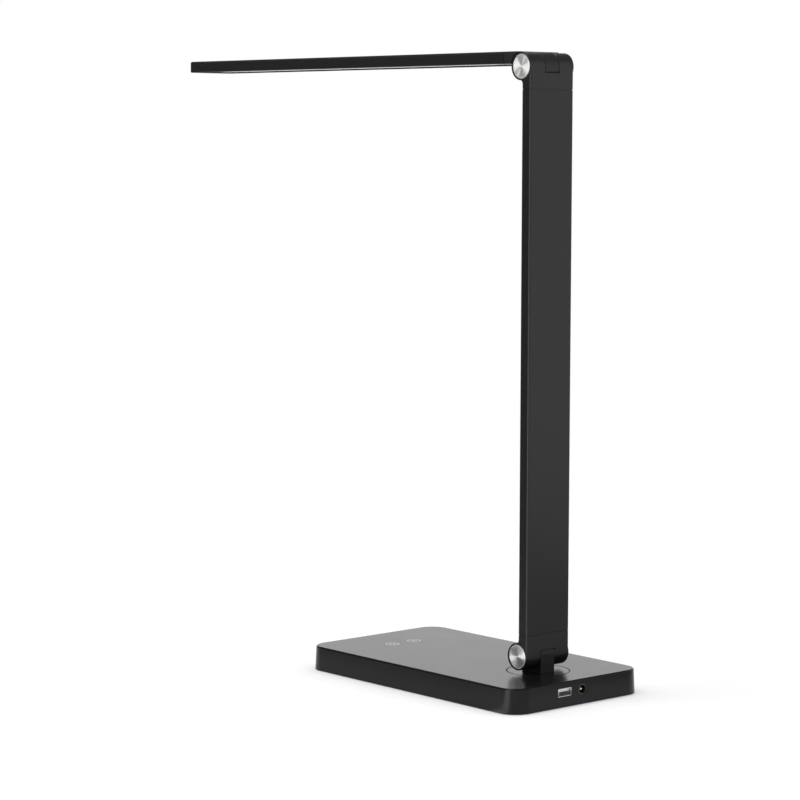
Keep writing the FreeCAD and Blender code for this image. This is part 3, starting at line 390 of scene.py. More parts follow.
def pebble_group():
    """Pebbled skin of rubber, foam and fibre."""
    tree, given, out = new_group(
        "Pebbled skin",
        [("Vector", "v", None), ("Colour", "c", (0.03, 0.03, 0.03, 1)), ("Pebbles", "f", 1500.0),
         ("Depth", "f", 8e-6), ("Colour spread", "f", 0.3), ("Roughness", "f", 0.75)],
        [("Colour", "c"), ("Roughness", "f"), ("Normal", "v")])
    cells = node(tree, "ShaderNodeTexVoronoi", 0, 0, feature="SMOOTH_F1")
    tree.links.new(given["Vector"], cells.inputs["Vector"])
    tree.links.new(given["Pebbles"], cells.inputs["Scale"])
    dome = sum_of(tree, "SUBTRACT", 1, 0, 1.0, cells.outputs["Distance"])
    broad = noise(tree, 0, -2, given["Vector"], PEBBLE_CLOUDS, detail=3.0, rough=0.6)
    around = sum_of(tree, "SUBTRACT", 2, -1, sum_of(tree, "ADD", 1, -1, dome, broad), 1.0)
    tint = sum_of(tree, "MULTIPLY_ADD", 3, 1, around, given["Colour spread"], 1.0)
    tree.links.new(tinted(tree, 4, 1, given["Colour"], tint), out["Colour"])
    gloss = sum_of(tree, "MULTIPLY_ADD", 3, -1, around, PEBBLE_SHEEN, given["Roughness"])
    tree.links.new(gloss, out["Roughness"])
    height = sum_of(tree, "MULTIPLY", 3, -2, dome, given["Depth"])
    tree.links.new(bumped(tree, 4, -2, height), out["Normal"])
    return tree


def circuit_group():
    """Circuit board: lacquer over copper tracks, with bare tinned pads."""
    tree, given, out = new_group(
        "Circuit board",
        [("Vector", "v", None), ("Lacquer", "c", (0.01, 0.09, 0.035, 1)),
         ("Track", "c", (0.02, 0.16, 0.06, 1)), ("Pad", "c", (0.7, 0.68, 0.62, 1)),
         ("Track scale", "f", 220.0)],
        [("Colour", "c"), ("Roughness", "f"), ("Metallic", "f"), ("Normal", "v")])
    tracks = node(tree, "ShaderNodeTexBrick", 0, 1, offset=0.37, squash=0.6, squash_frequency=3)
    tree.links.new(given["Vector"], tracks.inputs["Vector"])
    tree.links.new(given["Track scale"], tracks.inputs["Scale"])
    tracks.inputs["Mortar Size"].default_value = TRACK_LINE
    tracks.inputs["Mortar Smooth"].default_value = TRACK_BLUR
    spots = node(tree, "ShaderNodeTexVoronoi", 0, -1, feature="F1")
    spots.inputs["Randomness"].default_value = PAD_SCATTER
    tree.links.new(given["Vector"], spots.inputs["Vector"])
    tree.links.new(given["Track scale"], spots.inputs["Scale"])
    pads = ramp(tree, 1, -1, spots.outputs["Distance"], *PAD_EDGE)
    board = blend(tree, 2, 1, tracks.outputs["Fac"], given["Lacquer"], given["Track"])
    tree.links.new(blend(tree, 3, 1, pads, board, given["Pad"]), out["Colour"])
    gloss = sum_of(tree, "MULTIPLY_ADD", 3, 0, pads, PAD_ROUGHNESS - LACQUER_ROUGHNESS,
                   LACQUER_ROUGHNESS)
    tree.links.new(gloss, out["Roughness"])
    tree.links.new(pads, out["Metallic"])
    height = sum_of(tree, "MULTIPLY", 3, -1, tracks.outputs["Fac"], TRACK_HEIGHT)
    tree.links.new(bumped(tree, 4, -1, height), out["Normal"])
    return tree


BUILDERS = {
    "Satin grain": satin_grain_group,
    "Drawn lines": drawn_lines_group,
    "Spun rings": spun_rings_group,
    "Pebbled skin": pebble_group,
    "Circuit board": circuit_group,
}


def effect(tree, name, x, y, vector, **values):
    """Place a shared group, fed with a vector and its own values."""
    made = node(tree, "ShaderNodeGroup", x, y, label=name)
    made.node_tree = bpy.data.node_groups.get(name) or BUILDERS[name]()
    tree.links.new(vector, made.inputs["Vector"])
    for key, value in values.items():
        if isinstance(value, tuple):
            value = (*value, 1)
        feed(tree, made.inputs[key.replace("_", " ")], value)
    return made.outputs


def empty_tree(owner):
    """Node tree of a material or world, with nothing in it."""
    owner.use_nodes = True
    owner.node_tree.nodes.clear()
    return owner.node_tree


def new_material(name, ior=1.45, metallic=0.0, **constants):
    """Material with a Principled BSDF, its plain values, and the object's own coordinates."""
    material = bpy.data.materials.new(name)
    tree = empty_tree(material)
    surface = node(tree, "ShaderNodeBsdfPrincipled", 6, 0)
    end = node(tree, "ShaderNodeOutputMaterial", 8, 0)
    tree.links.new(surface.outputs[0], end.inputs["Surface"])
    surface.inputs["IOR"].default_value = ior
    surface.inputs["Metallic"].default_value = metallic
    for key, value in constants.items():
        surface.inputs[key.replace("_", " ")].default_value = value
    place = node(tree, "ShaderNodeTexCoord", -4, 0)
    return material, tree, surface, place.outputs["Object"]


def connect(tree, surface, outputs, without=()):
    """Link a group's outputs to the Principled BSDF's sockets of the same meaning."""
    sockets = {"Colour": "Base Color", "Roughness": "Roughness", "Metallic": "Metallic",
               "Normal": "Normal"}
    for output in outputs:
        if output.name in sockets and output.name not in without:
            tree.links.new(output, surface.inputs[sockets[output.name]])


def covered(name, group, ior=1.45, metallic=0.0, **values):
    """Material that one shared group covers."""
    material, tree, surface, place = new_material(name, ior, metallic)
    connect(tree, surface, effect(tree, group, 2, 0, place, **values))
    return material


def moulded(name, colour, roughness, grain=3200.0, depth=0.35e-6, ior=1.36, spread=0.12,
            metallic=0.0):
    """Satin moulding or print."""
    return covered(name, "Satin grain", ior, metallic, Colour=tuple(colour), Grain=grain,
                   Depth=depth, Roughness=roughness, Roughness_spread=0.05, Colour_spread=spread)


# Turns that lay the drawn lines along an axis
ALONG_Z = (0.0, 0.0, 0.0)
ALONG_Y = (math.pi / 2, 0.0, 0.0)
ALONG_X = (0.0, math.pi / 2, 0.0)


def drawn(name, colour, roughness, turn, metallic=0.0, depth=0.3e-6):
    """Drawn, rolled or extruded finish with faint lines along one direction."""
    material, tree, surface, place = new_material(name, metallic=metallic)
    turned = node(tree, "ShaderNodeMapping", -2, 0)
    turned.inputs["Rotation"].default_value = turn
    tree.links.new(place, turned.inputs["Vector"])
    skin = effect(tree, "Satin grain", 0, 0, place, Colour=tuple(colour), Grain=2600.0, Depth=0.25e-6,
                  Roughness=roughness, Roughness_spread=0.05, Colour_spread=0.1)
    lines = effect(tree, "Drawn lines", 2, -1, turned.outputs[0], Roughness=skin["Roughness"],
                   Roughness_spread=0.06, Depth=depth, Normal=skin["Normal"])
    connect(tree, surface, skin, without=("Roughness", "Normal"))
    connect(tree, surface, lines)
    return material


def dress(material, *names):
    """Give CAD nodes a material."""
    for name in names:
        for slot in NODES[name].material_slots:
            slot.material = material


class LAMP_OT_base_finish(bpy.types.Operator):
    """Satin black housing, turntable and knuckle, the plate below and the rubber pad"""

    bl_idname = "desk_lamp.base_finish"
    bl_label = "Finish Base and Turntable"

    def execute(self, context):
        look = context.scene.lamp_finish
        housing = moulded("Base moulding black", look.moulding, look.moulding_gloss, ior=1.3)
        dress(housing, "base_housing", "turntable_disc")
        knuckle = moulded("Knuckle black", look.ends, look.coat_gloss, ior=1.34)
        dress(knuckle, "lower_knuckle")
        plate = moulded("Bottom plate black", (0.012, 0.012, 0.012), 0.45, grain=1800.0, depth=1.5e-6)
        dress(plate, "base_bottom_plate")
        rubber = covered("Pad rubber", "Pebbled skin", ior=1.5, Colour=(0.018, 0.018, 0.018))
        dress(rubber, "anti_slip_pad")
        return {"FINISHED"}


class LAMP_OT_arm_finish(bpy.types.Operator):
    """Coated post between its two moulded hinge pieces, and the cable inside it"""

    bl_idname = "desk_lamp.arm_finish"
    bl_label = "Finish Arm"

    def execute(self, context):
        look = context.scene.lamp_finish
        dress(drawn("Post coating", look.coat, look.coat_gloss, ALONG_Z), "post")
        ends = moulded("Hinge piece black", look.ends, look.coat_gloss, ior=1.45)
        dress(ends, "arm_lower_end", "arm_upper_end")
        jacket = drawn("Cable jacket", (0.03, 0.03, 0.03), 0.5, ALONG_Z, depth=6e-6)
        dress(jacket, "arm_cable")
        return {"FINISHED"}


# Caps: sides of the round, flat land inside the chamfer, radius that the last ring leaves,
# and the largest angle between two faces that are shaded as one
CAP_SIDES = 96
CAP_LAND = 0.12 * MM
CAP_MIDDLE = 0.25 * MM
CAP_SMOOTH = math.radians(25)
# Least X of the normal of a face that looks along +X, and room for rounding in its place
FACING_X = 0.9
ROUNDING = 1e-6


class LAMP_OT_hinge_caps(bpy.types.Operator):
    """Four dished caps with turned grooves and a polished rim whose shine is partly a painted
    highlight, one modelled and three copied
    """

    bl_idname = "desk_lamp.hinge_caps"
    bl_label = "Build Hinge Caps"

    def spun_metal(self, name, axis, caps):
        """Metal with grooves turned round a hinge axis; its highlights fan out from the axis."""
        material, tree, surface, place = new_material(name, metallic=0.9, Anisotropic=0.92,
                                                      Anisotropic_Rotation=0.25)
        centred = node(tree, "ShaderNodeMapping", -2, 0)
        centred.inputs["Location"].default_value = -axis
        tree.links.new(place, centred.inputs["Vector"])
        face = effect(tree, "Spun rings", 2, 0, centred.outputs[0], Pitch=caps.groove,
                      Colour=(0.93, 0.93, 0.91), Roughness=0.52, Depth=0.5e-6)
        connect(tree, surface, face)
        grooves = node(tree, "ShaderNodeTangent", 4, -2, direction_type="RADIAL", axis="X")
        tree.links.new(grooves.outputs[0], surface.inputs["Tangent"])
        return material

    def one_cap(self, node_name, caps):
        """Model the cap of one barrel end in place, facing +X; return it and its face's radius."""
        low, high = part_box(node_name)
        radius = (high.z - low.z) / 2
        middle = (low + high) / 2
        wall = high.x - caps.fall
        only_object_mode()
        bpy.ops.mesh.primitive_cylinder_add(
            vertices=CAP_SIDES, radius=radius, depth=wall - low.x, end_fill_type="NGON",
            location=((wall + low.x) / 2, middle.y, middle.z), rotation=(0, math.pi / 2, 0))
        cap = bpy.context.object
        bpy.ops.object.transform_apply(location=True, rotation=True, scale=True)
        bpy.ops.object.mode_set(mode="EDIT")
        pick_faces(lambda place, normal: normal.x > FACING_X and place.x > wall - ROUNDING)
        bpy.ops.mesh.inset(thickness=caps.chamfer)
        bpy.ops.transform.translate(value=(caps.fall, 0, 0))
        bpy.ops.mesh.inset(thickness=CAP_LAND)
        # The dish is a shallow parabola of rings
        left = radius - caps.chamfer - CAP_LAND
        step = (left - CAP_MIDDLE) / caps.rings
        for ring in range(caps.rings):
            bpy.ops.mesh.inset(thickness=step)
            share = [1 - ((left - step * count) / left) ** 2 for count in (ring, ring + 1)]
            bpy.ops.transform.translate(value=(-caps.dish * (share[1] - share[0]), 0, 0))
        bpy.ops.mesh.poke()
        bpy.ops.object.mode_set(mode="OBJECT")
        return settle(cap, node_name + "_spun"), radius - caps.chamfer

    def execute(self, context):
        caps = context.scene.lamp_caps
        pattern, face_radius = self.one_cap("lower_cap_right", caps)
        # The rim's near-white, mostly diffuse colour is partly the light metal and partly a painted
        # highlight for the polished chamfer's reflections
        rim = moulded("Cap rim", (0.92, 0.92, 0.91), 0.22, grain=2500.0, depth=0.1e-6, ior=1.45,
                      spread=0.04, metallic=0.1)
        spots = (("lower_cap_right", LOWER_AXIS, 1), ("lower_cap_left", LOWER_AXIS, -1),
                 ("upper_cap_right", UPPER_AXIS, 1), ("upper_cap_left", UPPER_AXIS, -1))
        made = {}
        for name, axis, side in spots:
            cap = pattern
            if name != "lower_cap_right":
                cap = pattern.copy()
                cap.data = pattern.data.copy()
                context.collection.objects.link(cap)
                cap.data.transform(Matrix.Translation(axis - LOWER_AXIS))
                if side < 0:
                    cap.data.transform(Matrix.Scale(-1, 4, (1, 0, 0)))
                settle(cap, name + "_spun")
            cap.data.materials.clear()
            cap.data.materials.append(self.spun_metal(name.replace("_", " ").capitalize(), axis, caps))
            cap.data.materials.append(rim)
            for face in cap.data.polygons:
                middle = face.center - axis
                face.material_index = int(math.hypot(middle.y, middle.z) > face_radius - CAP_LAND / 2)
            alone(cap)
            bpy.ops.object.shade_smooth_by_angle(angle=CAP_SMOOTH)
            made[name] = cap
        # A copy also takes over these notes of its pattern, so they wait until all caps are there
        for name, cap in made.items():
            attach(cap, "arm")
            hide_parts(name)
        return {"FINISHED"}


class LAMP_OT_head_finish(bpy.types.Operator):
    """Head tray and its hinge piece, opal panel, white frame, boards and diodes"""

    bl_idname = "desk_lamp.head_finish"
    bl_label = "Finish Head"

    def execute(self, context):
        look = context.scene.lamp_finish
        dress(drawn("Head coating", look.coat, look.coat_gloss, ALONG_Y), "head_housing")
        dress(moulded("Head hinge black", look.ends, 0.52, ior=1.45), "head_end")
        panel = moulded("Opal panel", look.opal, 0.42, grain=1900.0, depth=1.2e-6, ior=1.49,
                        spread=0.015)
        dress(panel, "diffuser")
        dress(moulded("White frame", (0.82, 0.82, 0.82), 0.4, grain=2200.0, ior=1.5, spread=0.03),
              "reflector")
        board = covered("White light board", "Circuit board", ior=1.5, Lacquer=(0.84, 0.84, 0.82),
                        Track=(0.76, 0.76, 0.73), Track_scale=90.0)
        dress(board, "led_board")
        phosphor = covered("Phosphor", "Pebbled skin", ior=1.41, Colour=(0.85, 0.62, 0.09),
                           Pebbles=5200.0, Depth=3e-6, Colour_spread=0.12, Roughness=0.3)
        dress(phosphor, "led_chips")
        return {"FINISHED"}


class LAMP_OT_socket_finish(bpy.types.Operator):
    """Plated socket, its tongue, the power inlet and its pin, and the boards in the base"""

    bl_idname = "desk_lamp.socket_finish"
    bl_label = "Finish Sockets"

    def execute(self, context):
        dress(drawn("Socket plating", (0.72, 0.72, 0.71), 0.26, ALONG_Y, metallic=1.0),
              "usb_socket_shell")
        dress(moulded("Socket tongue", (0.75, 0.75, 0.74), 0.45, ior=1.5), "usb_socket_tongue")
        dress(moulded("Inlet black", (0.013, 0.013, 0.013), 0.35, ior=1.5), "dc_inlet_body")
        dress(drawn("Inlet pin", (0.83, 0.68, 0.38), 0.22, ALONG_Y, metallic=1.0), "dc_inlet_pin")
        dress(covered("Green circuit board", "Circuit board", ior=1.5), "power_board", "control_board")
        return {"FINISHED"}


class LAMP_OT_inner_finish(bpy.types.Operator):
    """Steel weight, ring, pins, nuts, washers and screws, and the fibre and foam pieces"""

    bl_idname = "desk_lamp.inner_finish"
    bl_label = "Finish Inner Pieces"

    def execute(self, context):
        rolled = drawn("Rolled steel", (0.42, 0.42, 0.42), 0.42, ALONG_Y, metallic=1.0, depth=1.2e-6)
        dress(rolled, "ballast_plate")
        plated = drawn("Plated steel", (0.6, 0.6, 0.59), 0.3, ALONG_Z, metallic=1.0)
        dress(plated, "base_screws", "knuckle_screws", "retaining_ring", "ring_screws", "wave_washer",
              "board_screws")
        turned = drawn("Turned steel", (0.56, 0.56, 0.55), 0.28, ALONG_X, metallic=1.0)
        dress(turned, "lower_hinge_pin", "upper_hinge_pin", "lower_hinge_nut", "upper_hinge_nut",
              "lower_spring_washer", "upper_spring_washer")
        fibre = covered("Fibre washer", "Pebbled skin", Colour=(0.46, 0.4, 0.3), Pebbles=2600.0,
                        Depth=5e-6)
        dress(fibre, "lower_friction_washers", "upper_friction_washers")
        foam = covered("Touch foam", "Pebbled skin", Colour=(0.03, 0.03, 0.032), Pebbles=3000.0,
                       Depth=5e-6)
        dress(foam, "touch_pads")
        return {"FINISHED"}


# Touch marks: places of the two signs across the base, sides of a ring, rays of the sun sign
ON_OFF_X = 13.9 * MM
BRIGHTNESS_X = -7.9 * MM
RING_SIDES = 72
RAYS = 8
# Half of the gap in the on-off sign's arc
ARC_GAP = math.radians(36)
# Radii, places and lengths in the signs, as shares of the ring's radius
ARC_RADIUS = 0.44
STROKE_PLACE = 0.36
STROKE_LENGTH = 0.5
SUN_RADIUS = 0.24
RAY_PLACE = 0.46
RAY_LENGTH = 0.2
# Line width in the signs as a share of the ring's, and of the rays as a share of that
SIGN_LINE = 0.8
RAY_LINE = 0.9
# Share of the ink's thickness that is pressed into the base
INK_SUNK = 0.2
# Corner radius of a bar as a share of its width, and the steps in the corner
BAR_CORNER = 0.4
BAR_STEPS = 4


class LAMP_OT_touch_marks(bpy.types.Operator):
    """Two printed rings on the base, one round an on-off sign and one round a brightness sign"""

    bl_idname = "desk_lamp.touch_marks"
    bl_label = "Print Touch Marks"

    def ring(self, x, y, z, radius, line, open_to=0.0):
        """Flat ring; open_to is half the angle, in radians, that is left open towards +Y."""
        only_object_mode()
        bpy.ops.mesh.primitive_circle_add(vertices=RING_SIDES, radius=radius, fill_type="NGON",
                                          location=(x, y, z))
        piece = bpy.context.object
        bpy.ops.object.transform_apply(location=True, rotation=True, scale=True)
        bpy.ops.object.mode_set(mode="EDIT")
        bpy.ops.mesh.select_all(action="SELECT")
        bpy.ops.mesh.inset(thickness=line)
        bpy.ops.mesh.delete(type="FACE")
        if open_to:
            pick_faces(lambda place, normal: abs(math.atan2(place.x - x, place.y - y)) < open_to)
            bpy.ops.mesh.delete(type="FACE")
        bpy.ops.object.mode_set(mode="OBJECT")
        return piece

    def bar(self, x, y, z, width, length, turn=0.0):
        """Flat bar with rounded corners, long along Y before it is turned."""
        only_object_mode()
        bpy.ops.mesh.primitive_plane_add(size=1, location=(x, y, z), rotation=(0, 0, turn))
        piece = bpy.context.object
        piece.scale = (width, length, 1)
        bpy.ops.object.transform_apply(location=True, rotation=True, scale=True)
        bpy.ops.object.mode_set(mode="EDIT")
        bpy.ops.mesh.select_all(action="SELECT")
        bpy.ops.mesh.bevel(offset=width * BAR_CORNER, segments=BAR_STEPS, affect="VERTICES")
        bpy.ops.object.mode_set(mode="OBJECT")
        return piece

    def print_on(self, parts, ink, name):
        """Join flat parts and give them the thickness of the print."""
        piece = join(parts)
        bpy.ops.object.mode_set(mode="EDIT")
        bpy.ops.mesh.select_all(action="SELECT")
        bpy.ops.mesh.extrude_region_move(TRANSFORM_OT_translate={"value": (0, 0, ink)})
        bpy.ops.object.mode_set(mode="OBJECT")
        return settle(piece, name)

    def execute(self, context):
        marks = context.scene.lamp_marks
        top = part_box("base_housing")[1].z - INK_SUNK * marks.ink
        y = marks.row
        thin = marks.line * SIGN_LINE
        on_off = [
            self.ring(ON_OFF_X, y, top, marks.ring, marks.line),
            self.ring(ON_OFF_X, y, top, marks.ring * ARC_RADIUS, thin, open_to=ARC_GAP),
            self.bar(ON_OFF_X, y + marks.ring * STROKE_PLACE, top, thin, marks.ring * STROKE_LENGTH),
        ]
        bright = [self.ring(BRIGHTNESS_X, y, top, marks.ring, marks.line),
                  self.ring(BRIGHTNESS_X, y, top, marks.ring * SUN_RADIUS, thin)]
        reach = marks.ring * RAY_PLACE
        for count in range(RAYS):
            angle = count * 2 * math.pi / RAYS
            bright.append(self.bar(BRIGHTNESS_X + reach * math.cos(angle), y + reach * math.sin(angle),
                                   top, thin * RAY_LINE, marks.ring * RAY_LENGTH, angle + math.pi / 2))
        material = moulded("Touch print", marks.colour, 0.5, grain=5000.0, depth=0.3e-6, ior=1.45,
                           spread=0.05)
        for parts, name in ((on_off, "touch_mark_on_off"), (bright, "touch_mark_brightness")):
            piece = self.print_on(parts, marks.ink, name)
            piece.data.materials.clear()
            piece.data.materials.append(material)
            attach(piece, "base")
        return {"FINISHED"}


# Level directions of the sectors that the lamp mirrors, and the cosines between which they fade in
DARK_SIDE = (0.66, -0.75, 0.0)
DARK_FADE = (0.3, 0.92)
# Behind the lamp lies the floor's painted shade
BEHIND_SIDE = (-0.65, 0.76, 0.0)
BEHIND_FADE = (0.6, 0.9)
STRIP_SIDE = (0.9917, 0.1288, 0.0)
STRIP_FADE = (0.966, 0.9925)
# Shares of the light in the middle of the dark sector and high up, and the heights between which
# it fades
DARK_SHARE = 0.19
HIGH_SHARE = 0.2
HIGH_FADE = (0.15, 0.7)
# Floor: side and cells of its grid, brightness of its fine speckle, light that it gives itself
FLOOR_SIDE = 24
FLOOR_CELLS = 12
SPECK_SCALE = 900.0
SPECK_FADE = (0.3, 0.7)
FLOOR_TINTS = (0.795, 0.805)
FLOOR_LIFT = 0.25
# Floor: the painted dark sector begins between these X, the painted shade and light and the white fade
# between these radii
PAINTED_DARK_START = (0.07, 0.24)
PAINTED_SHADE_START = (0.19, 0.25)
PAINTED_SHADE_END = (0.3, 0.82)
PAINTED_STRIP_GROWTH = (0.2, 0.5)
WHITE_START = (0.55, 1.1)
# Floor: depth of the painted shade behind the lamp, foot of the painted strip of light, and the
# strip's share of light there
PAINTED_SHADE_DEPTH = 0.95
STRIP_FOOT = (0.03, 0.09, 0.0)
STRIP_FOOT_SHARE = 0.6
# Softboxes: name, place, aim, width, height, power in watts, and whether reflections show it
LAMP_MIDDLE = (0, 0, 0.2)
SOFTBOXES = (
    ("Overhead softbox", (-0.4, 0.3, 2.4), LAMP_MIDDLE, 2.2, 2.2, 12, False),
    ("Right softbox", (-1.6, 2.2, 1.1), LAMP_MIDDLE, 1.4, 1.4, 9, False),
    ("Top softbox", (0.63, -0.29, 1.78), LAMP_MIDDLE, 0.5, 0.64, 8, True),
    ("Low softbox", (-1.15, -2.25, 0.75), LAMP_MIDDLE, 3.0, 1.2, 3.6, True),
    ("Cap softbox", (0.68, -0.84, 0.885), UPPER_AXIS, 0.5, 0.4, 0.6, True),
)
# Camera: width of the sensor in mm, and the distances between which it sees
SENSOR = 36
CLIP = (0.05, 60)


class LAMP_OT_studio(bpy.types.Operator):
    """White floor, soft light and the camera"""

    bl_idname = "desk_lamp.studio"
    bl_label = "Set Up Studio"

    def seen_rays(self, tree, x, y):
        """1 for camera, glossy and transmission rays, else 0; and the node that tells rays apart."""
        path = node(tree, "ShaderNodeLightPath", x, y)
        shown = sum_of(tree, "MAXIMUM", x + 1, y, path.outputs["Is Camera Ray"],
                       path.outputs["Is Glossy Ray"])
        return sum_of(tree, "MAXIMUM", x + 2, y, shown, path.outputs["Is Transmission Ray"]), path

    def mixed(self, tree, x, share, first, second):
        """Mix of two shaders."""
        mix = node(tree, "ShaderNodeMixShader", x, 0)
        tree.links.new(share, mix.inputs["Fac"])
        tree.links.new(first, mix.inputs[1])
        tree.links.new(second, mix.inputs[2])
        return mix.outputs[0]

    def facing(self, tree, x, y, direction, side):
        """Cosine of the level angle between a direction and a side."""
        level = vector_of(tree, "MULTIPLY", x, y, direction, (1, 1, 0))
        unit = vector_of(tree, "NORMALIZE", x + 1, y, level)
        return vector_of(tree, "DOT_PRODUCT", x + 2, y, unit, side)

    def dark_card(self, tree, x, y, direction):
        """Share of light left in the dark sector that the lamp's right sides mirror, 1 outside it."""
        towards = self.facing(tree, x, y, direction, DARK_SIDE)
        return ramp(tree, x + 3, y, towards, *DARK_FADE, 1.0, DARK_SHARE)

    def bright_card(self, tree, x, y, direction):
        """1 in the narrow upright strip of light that draws the lamp's rounded edges, else 0."""
        return ramp(tree, x + 3, y, self.facing(tree, x, y, direction, STRIP_SIDE), *STRIP_FADE)

    def painted_floor_reflection(self, tree, place, radius, strip_strength):
        """Painted light and painted shade on the floor beyond the plain white, seen by mirrored rays;
        below 0 in painted shade.
        """
        # Away from the base, the floor is painted darker in the dark card's sector: painted shade that
        # only mirrored rays see
        card = self.dark_card(tree, -5, 3, place)
        side = node(tree, "ShaderNodeSeparateXYZ", -4, 2)
        tree.links.new(place, side.inputs[0])
        away = ramp(tree, -3, 1, side.outputs["X"], *PAINTED_DARK_START)
        painted_dark_sector = sum_of(tree, "MULTIPLY", 0, 3, sum_of(tree, "SUBTRACT", -1, 3, card, 1.0), away)
        # Behind the lamp, a shade is painted on the floor near its foot
        sector = ramp(tree, -2, 5, self.facing(tree, -5, 5, place, BEHIND_SIDE), *BEHIND_FADE)
        start = ramp(tree, -2, 6, radius, *PAINTED_SHADE_START)
        stop = ramp(tree, -2, 7, radius, *PAINTED_SHADE_END, PAINTED_SHADE_DEPTH, 0.0)
        painted_shade = sum_of(tree, "MULTIPLY", 0, 5, sum_of(tree, "MULTIPLY", -1, 5, sector, start), stop)
        all_painted_shade = sum_of(tree, "SUBTRACT", 1, 4, painted_dark_sector, painted_shade)
        # Beside the lamp, a strip of light is painted on the floor
        from_foot = vector_of(tree, "SUBTRACT", -6, 8, place, STRIP_FOOT)
        strip = self.bright_card(tree, -5, 8, from_foot)
        painted_strip_light = ramp(tree, -1, 8, radius, *PAINTED_STRIP_GROWTH, STRIP_FOOT_SHARE * strip_strength,
                    strip_strength)
        return sum_of(tree, "MULTIPLY_ADD", 1, 6, strip, painted_strip_light, all_painted_shade)

    def floor_material(self, strip_strength):
        """Matt near the lamp and plain white far from it; mirrored rays see its painted light and
        shade.
        """
        material = bpy.data.materials.new("Studio floor")
        tree = empty_tree(material)
        place = node(tree, "ShaderNodeTexCoord", -6, 2).outputs["Object"]
        radius = vector_of(tree, "LENGTH", -5, 0, place)
        seen, path = self.seen_rays(tree, -6, -2)
        mirror = self.painted_floor_reflection(tree, place, radius, strip_strength)
        # Only glossy rays see the painted light and shade, as a factor on the floor's colour and glow
        painted_reflection_factor = sum_of(tree, "MULTIPLY_ADD", 1, 3, mirror, path.outputs["Is Glossy Ray"], 1.0)
        speck = noise(tree, -3, 2, place, SPECK_SCALE)
        tint = ramp(tree, -1, 2, speck, *SPECK_FADE, *FLOOR_TINTS)
        matt = node(tree, "ShaderNodeBsdfDiffuse", 4, 1)
        tree.links.new(sum_of(tree, "MULTIPLY", 2, 2, tint, painted_reflection_factor), matt.inputs["Color"])
        lift = node(tree, "ShaderNodeEmission", 4, 0)
        glow = sum_of(tree, "MULTIPLY", 1, 0, seen, FLOOR_LIFT)
        tree.links.new(sum_of(tree, "MULTIPLY", 2, 0, glow, painted_reflection_factor), lift.inputs["Strength"])
        near = node(tree, "ShaderNodeAddShader", 5, 1)
        tree.links.new(matt.outputs[0], near.inputs[0])
        tree.links.new(lift.outputs[0], near.inputs[1])
        white = node(tree, "ShaderNodeEmission", 4, -2)
        tree.links.new(painted_reflection_factor, white.inputs["Strength"])
        far = ramp(tree, -1, 0, radius, *WHITE_START)
        share = sum_of(tree, "MULTIPLY", 1, -1, far, seen)
        both = self.mixed(tree, 6, share, near.outputs[0], white.outputs[0])
        end = node(tree, "ShaderNodeOutputMaterial", 8, 0)
        tree.links.new(both, end.inputs["Surface"])
        return material

    def floor(self, strip_strength):
        """Large floor under the lamp."""
        only_object_mode()
        bpy.ops.mesh.primitive_grid_add(x_subdivisions=FLOOR_CELLS, y_subdivisions=FLOOR_CELLS,
                                        size=FLOOR_SIDE)
        piece = bpy.context.object
        piece.name = "studio_floor"
        piece.data.materials.append(self.floor_material(strip_strength))

    def world(self, scene, ambient, strip_strength):
        """Even light from all round; it looks white, and shows the two cards in reflections."""
        world = bpy.data.worlds.new("Studio")
        scene.world = world
        tree = empty_tree(world)
        direction = node(tree, "ShaderNodeTexCoord", -6, 2).outputs["Generated"]
        card = self.dark_card(tree, -5, 2, direction)
        height = node(tree, "ShaderNodeSeparateXYZ", -4, 1)
        tree.links.new(direction, height.inputs[0])
        above = ramp(tree, -3, 1, height.outputs["Z"], *HIGH_FADE, 1.0, HIGH_SHARE)
        strip = self.bright_card(tree, -5, 4, direction)
        lit = sum_of(tree, "MULTIPLY_ADD", -1, 3, strip, strip_strength, card)
        room = sum_of(tree, "MULTIPLY", 0, 2, lit, above)
        seen, path = self.seen_rays(tree, -6, -2)
        straight = sum_of(tree, "MAXIMUM", -2, 0, path.outputs["Is Camera Ray"],
                          path.outputs["Is Transmission Ray"])
        shown = sum_of(tree, "MAXIMUM", 0, 1, room, straight)
        lights = []
        for y, strength in ((0, ambient), (1, shown)):
            light = node(tree, "ShaderNodeBackground", 2, y)
            light.inputs["Color"].default_value = (1, 1, 1, 1)
            feed(tree, light.inputs["Strength"], strength)
            lights.append(light.outputs[0])
        end = node(tree, "ShaderNodeOutputWorld", 6, 0)
        tree.links.new(self.mixed(tree, 4, seen, *lights), end.inputs["Surface"])

    def softbox(self, name, place, aim, width, height, power, shiny):
        """Area light that the camera doesn't show."""
        light = bpy.data.lights.new(name, "AREA")
        light.shape = "RECTANGLE"
        light.size = width
        light.size_y = height
        light.energy = power
        holder = bpy.data.objects.new(name, light)
        bpy.context.scene.collection.objects.link(holder)
        holder.location = place
        holder.rotation_euler = (Vector(aim) - Vector(place)).to_track_quat("-Z", "Y").to_euler()
        holder.visible_camera = False
        holder.visible_glossy = shiny

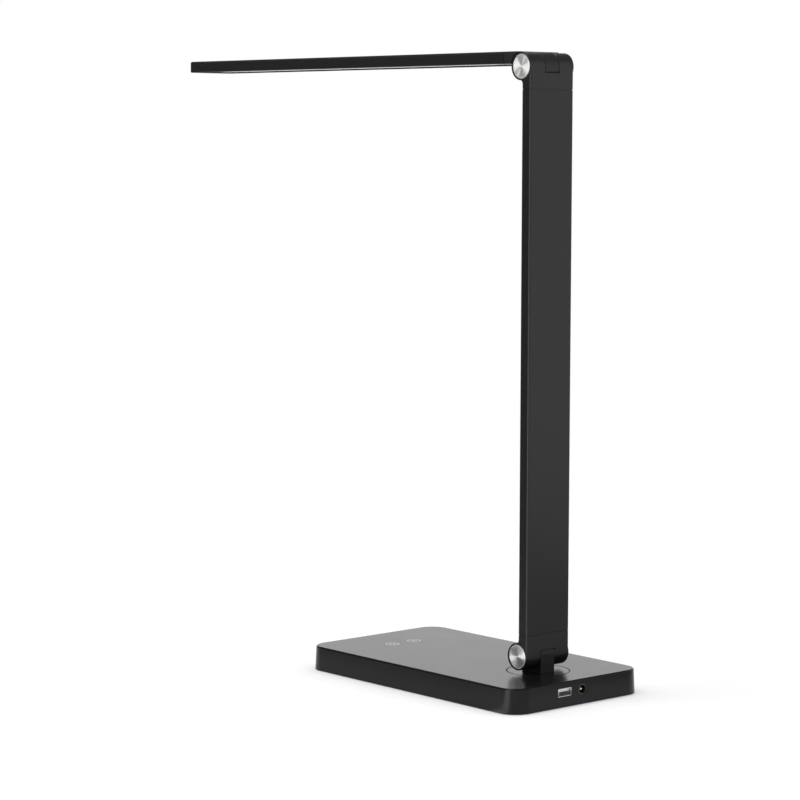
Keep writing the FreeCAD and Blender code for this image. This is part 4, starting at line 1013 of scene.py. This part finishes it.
    def camera(self, scene, studio):
        """Camera at the photo's angle."""
        azimuth, elevation = studio.azimuth, studio.elevation
        back = Vector((math.sin(azimuth) * math.cos(elevation),
                       -math.cos(azimuth) * math.cos(elevation), math.sin(elevation)))
        across = Vector((math.cos(azimuth), math.sin(azimuth), 0))
        upward = back.cross(across)
        right = across * math.cos(studio.roll) + upward * math.sin(studio.roll)
        top = upward * math.cos(studio.roll) - across * math.sin(studio.roll)
        lens = bpy.data.cameras.new("Camera")
        lens.sensor_width = SENSOR
        lens.lens = studio.lens
        lens.clip_start, lens.clip_end = CLIP
        holder = bpy.data.objects.new("Camera", lens)
        scene.collection.objects.link(holder)
        turn = Matrix((right, top, back)).transposed().to_4x4()
        holder.matrix_world = Matrix.Translation(Vector(studio.target) + back * studio.distance) @ turn
        scene.camera = holder

    def execute(self, context):
        scene = context.scene
        studio = scene.lamp_studio
        scene.view_settings.view_transform = "Standard"
        for leftover in [thing for thing in scene.objects if thing.type in {"LIGHT", "CAMERA"}]:
            bpy.data.objects.remove(leftover)
        self.floor(studio.strip)
        self.world(scene, studio.ambient, studio.strip)
        for softbox in SOFTBOXES:
            self.softbox(*softbox)
        self.camera(scene, studio)
        return {"FINISHED"}


STEPS = (LAMP_OT_base_finish, LAMP_OT_arm_finish, LAMP_OT_hinge_caps, LAMP_OT_head_finish,
         LAMP_OT_socket_finish, LAMP_OT_inner_finish, LAMP_OT_touch_marks, LAMP_OT_studio)
SETTINGS = {"lamp_finish": LampFinish, "lamp_caps": LampCaps, "lamp_marks": LampMarks,
            "lamp_studio": LampStudio}


class LAMP_PT_panel(bpy.types.Panel):
    """Sizes, colours and steps of the lamp"""

    bl_label = "Folding Desk Lamp"
    bl_idname = "LAMP_PT_panel"
    bl_space_type = "VIEW_3D"
    bl_region_type = "UI"
    bl_category = "Desk Lamp"

    def draw(self, context):
        """List the settings, then the steps."""
        for name, kind in SETTINGS.items():
            box = self.layout.box()
            for key in kind.__annotations__:
                box.prop(getattr(context.scene, name), key)
        column = self.layout.column(align=True)
        for step in STEPS:
            column.operator(step.bl_idname)


CLASSES = (*SETTINGS.values(), *STEPS, LAMP_PT_panel)


def register():
    """Add the settings, the steps and the panel."""
    for kind in CLASSES:
        bpy.utils.register_class(kind)
    for name, kind in SETTINGS.items():
        setattr(bpy.types.Scene, name, PointerProperty(type=kind))


def unregister():
    """Take them away again."""
    for name in SETTINGS:
        delattr(bpy.types.Scene, name)
    for kind in reversed(CLASSES):
        bpy.utils.unregister_class(kind)


def main():
    """Run all steps in order."""
    register()
    for step in STEPS:
        group, action = step.bl_idname.split(".")
        if getattr(getattr(bpy.ops, group), action)() != {"FINISHED"}:
            raise RuntimeError(step.bl_label + " did not finish")


if __name__ == "__main__":
    main()
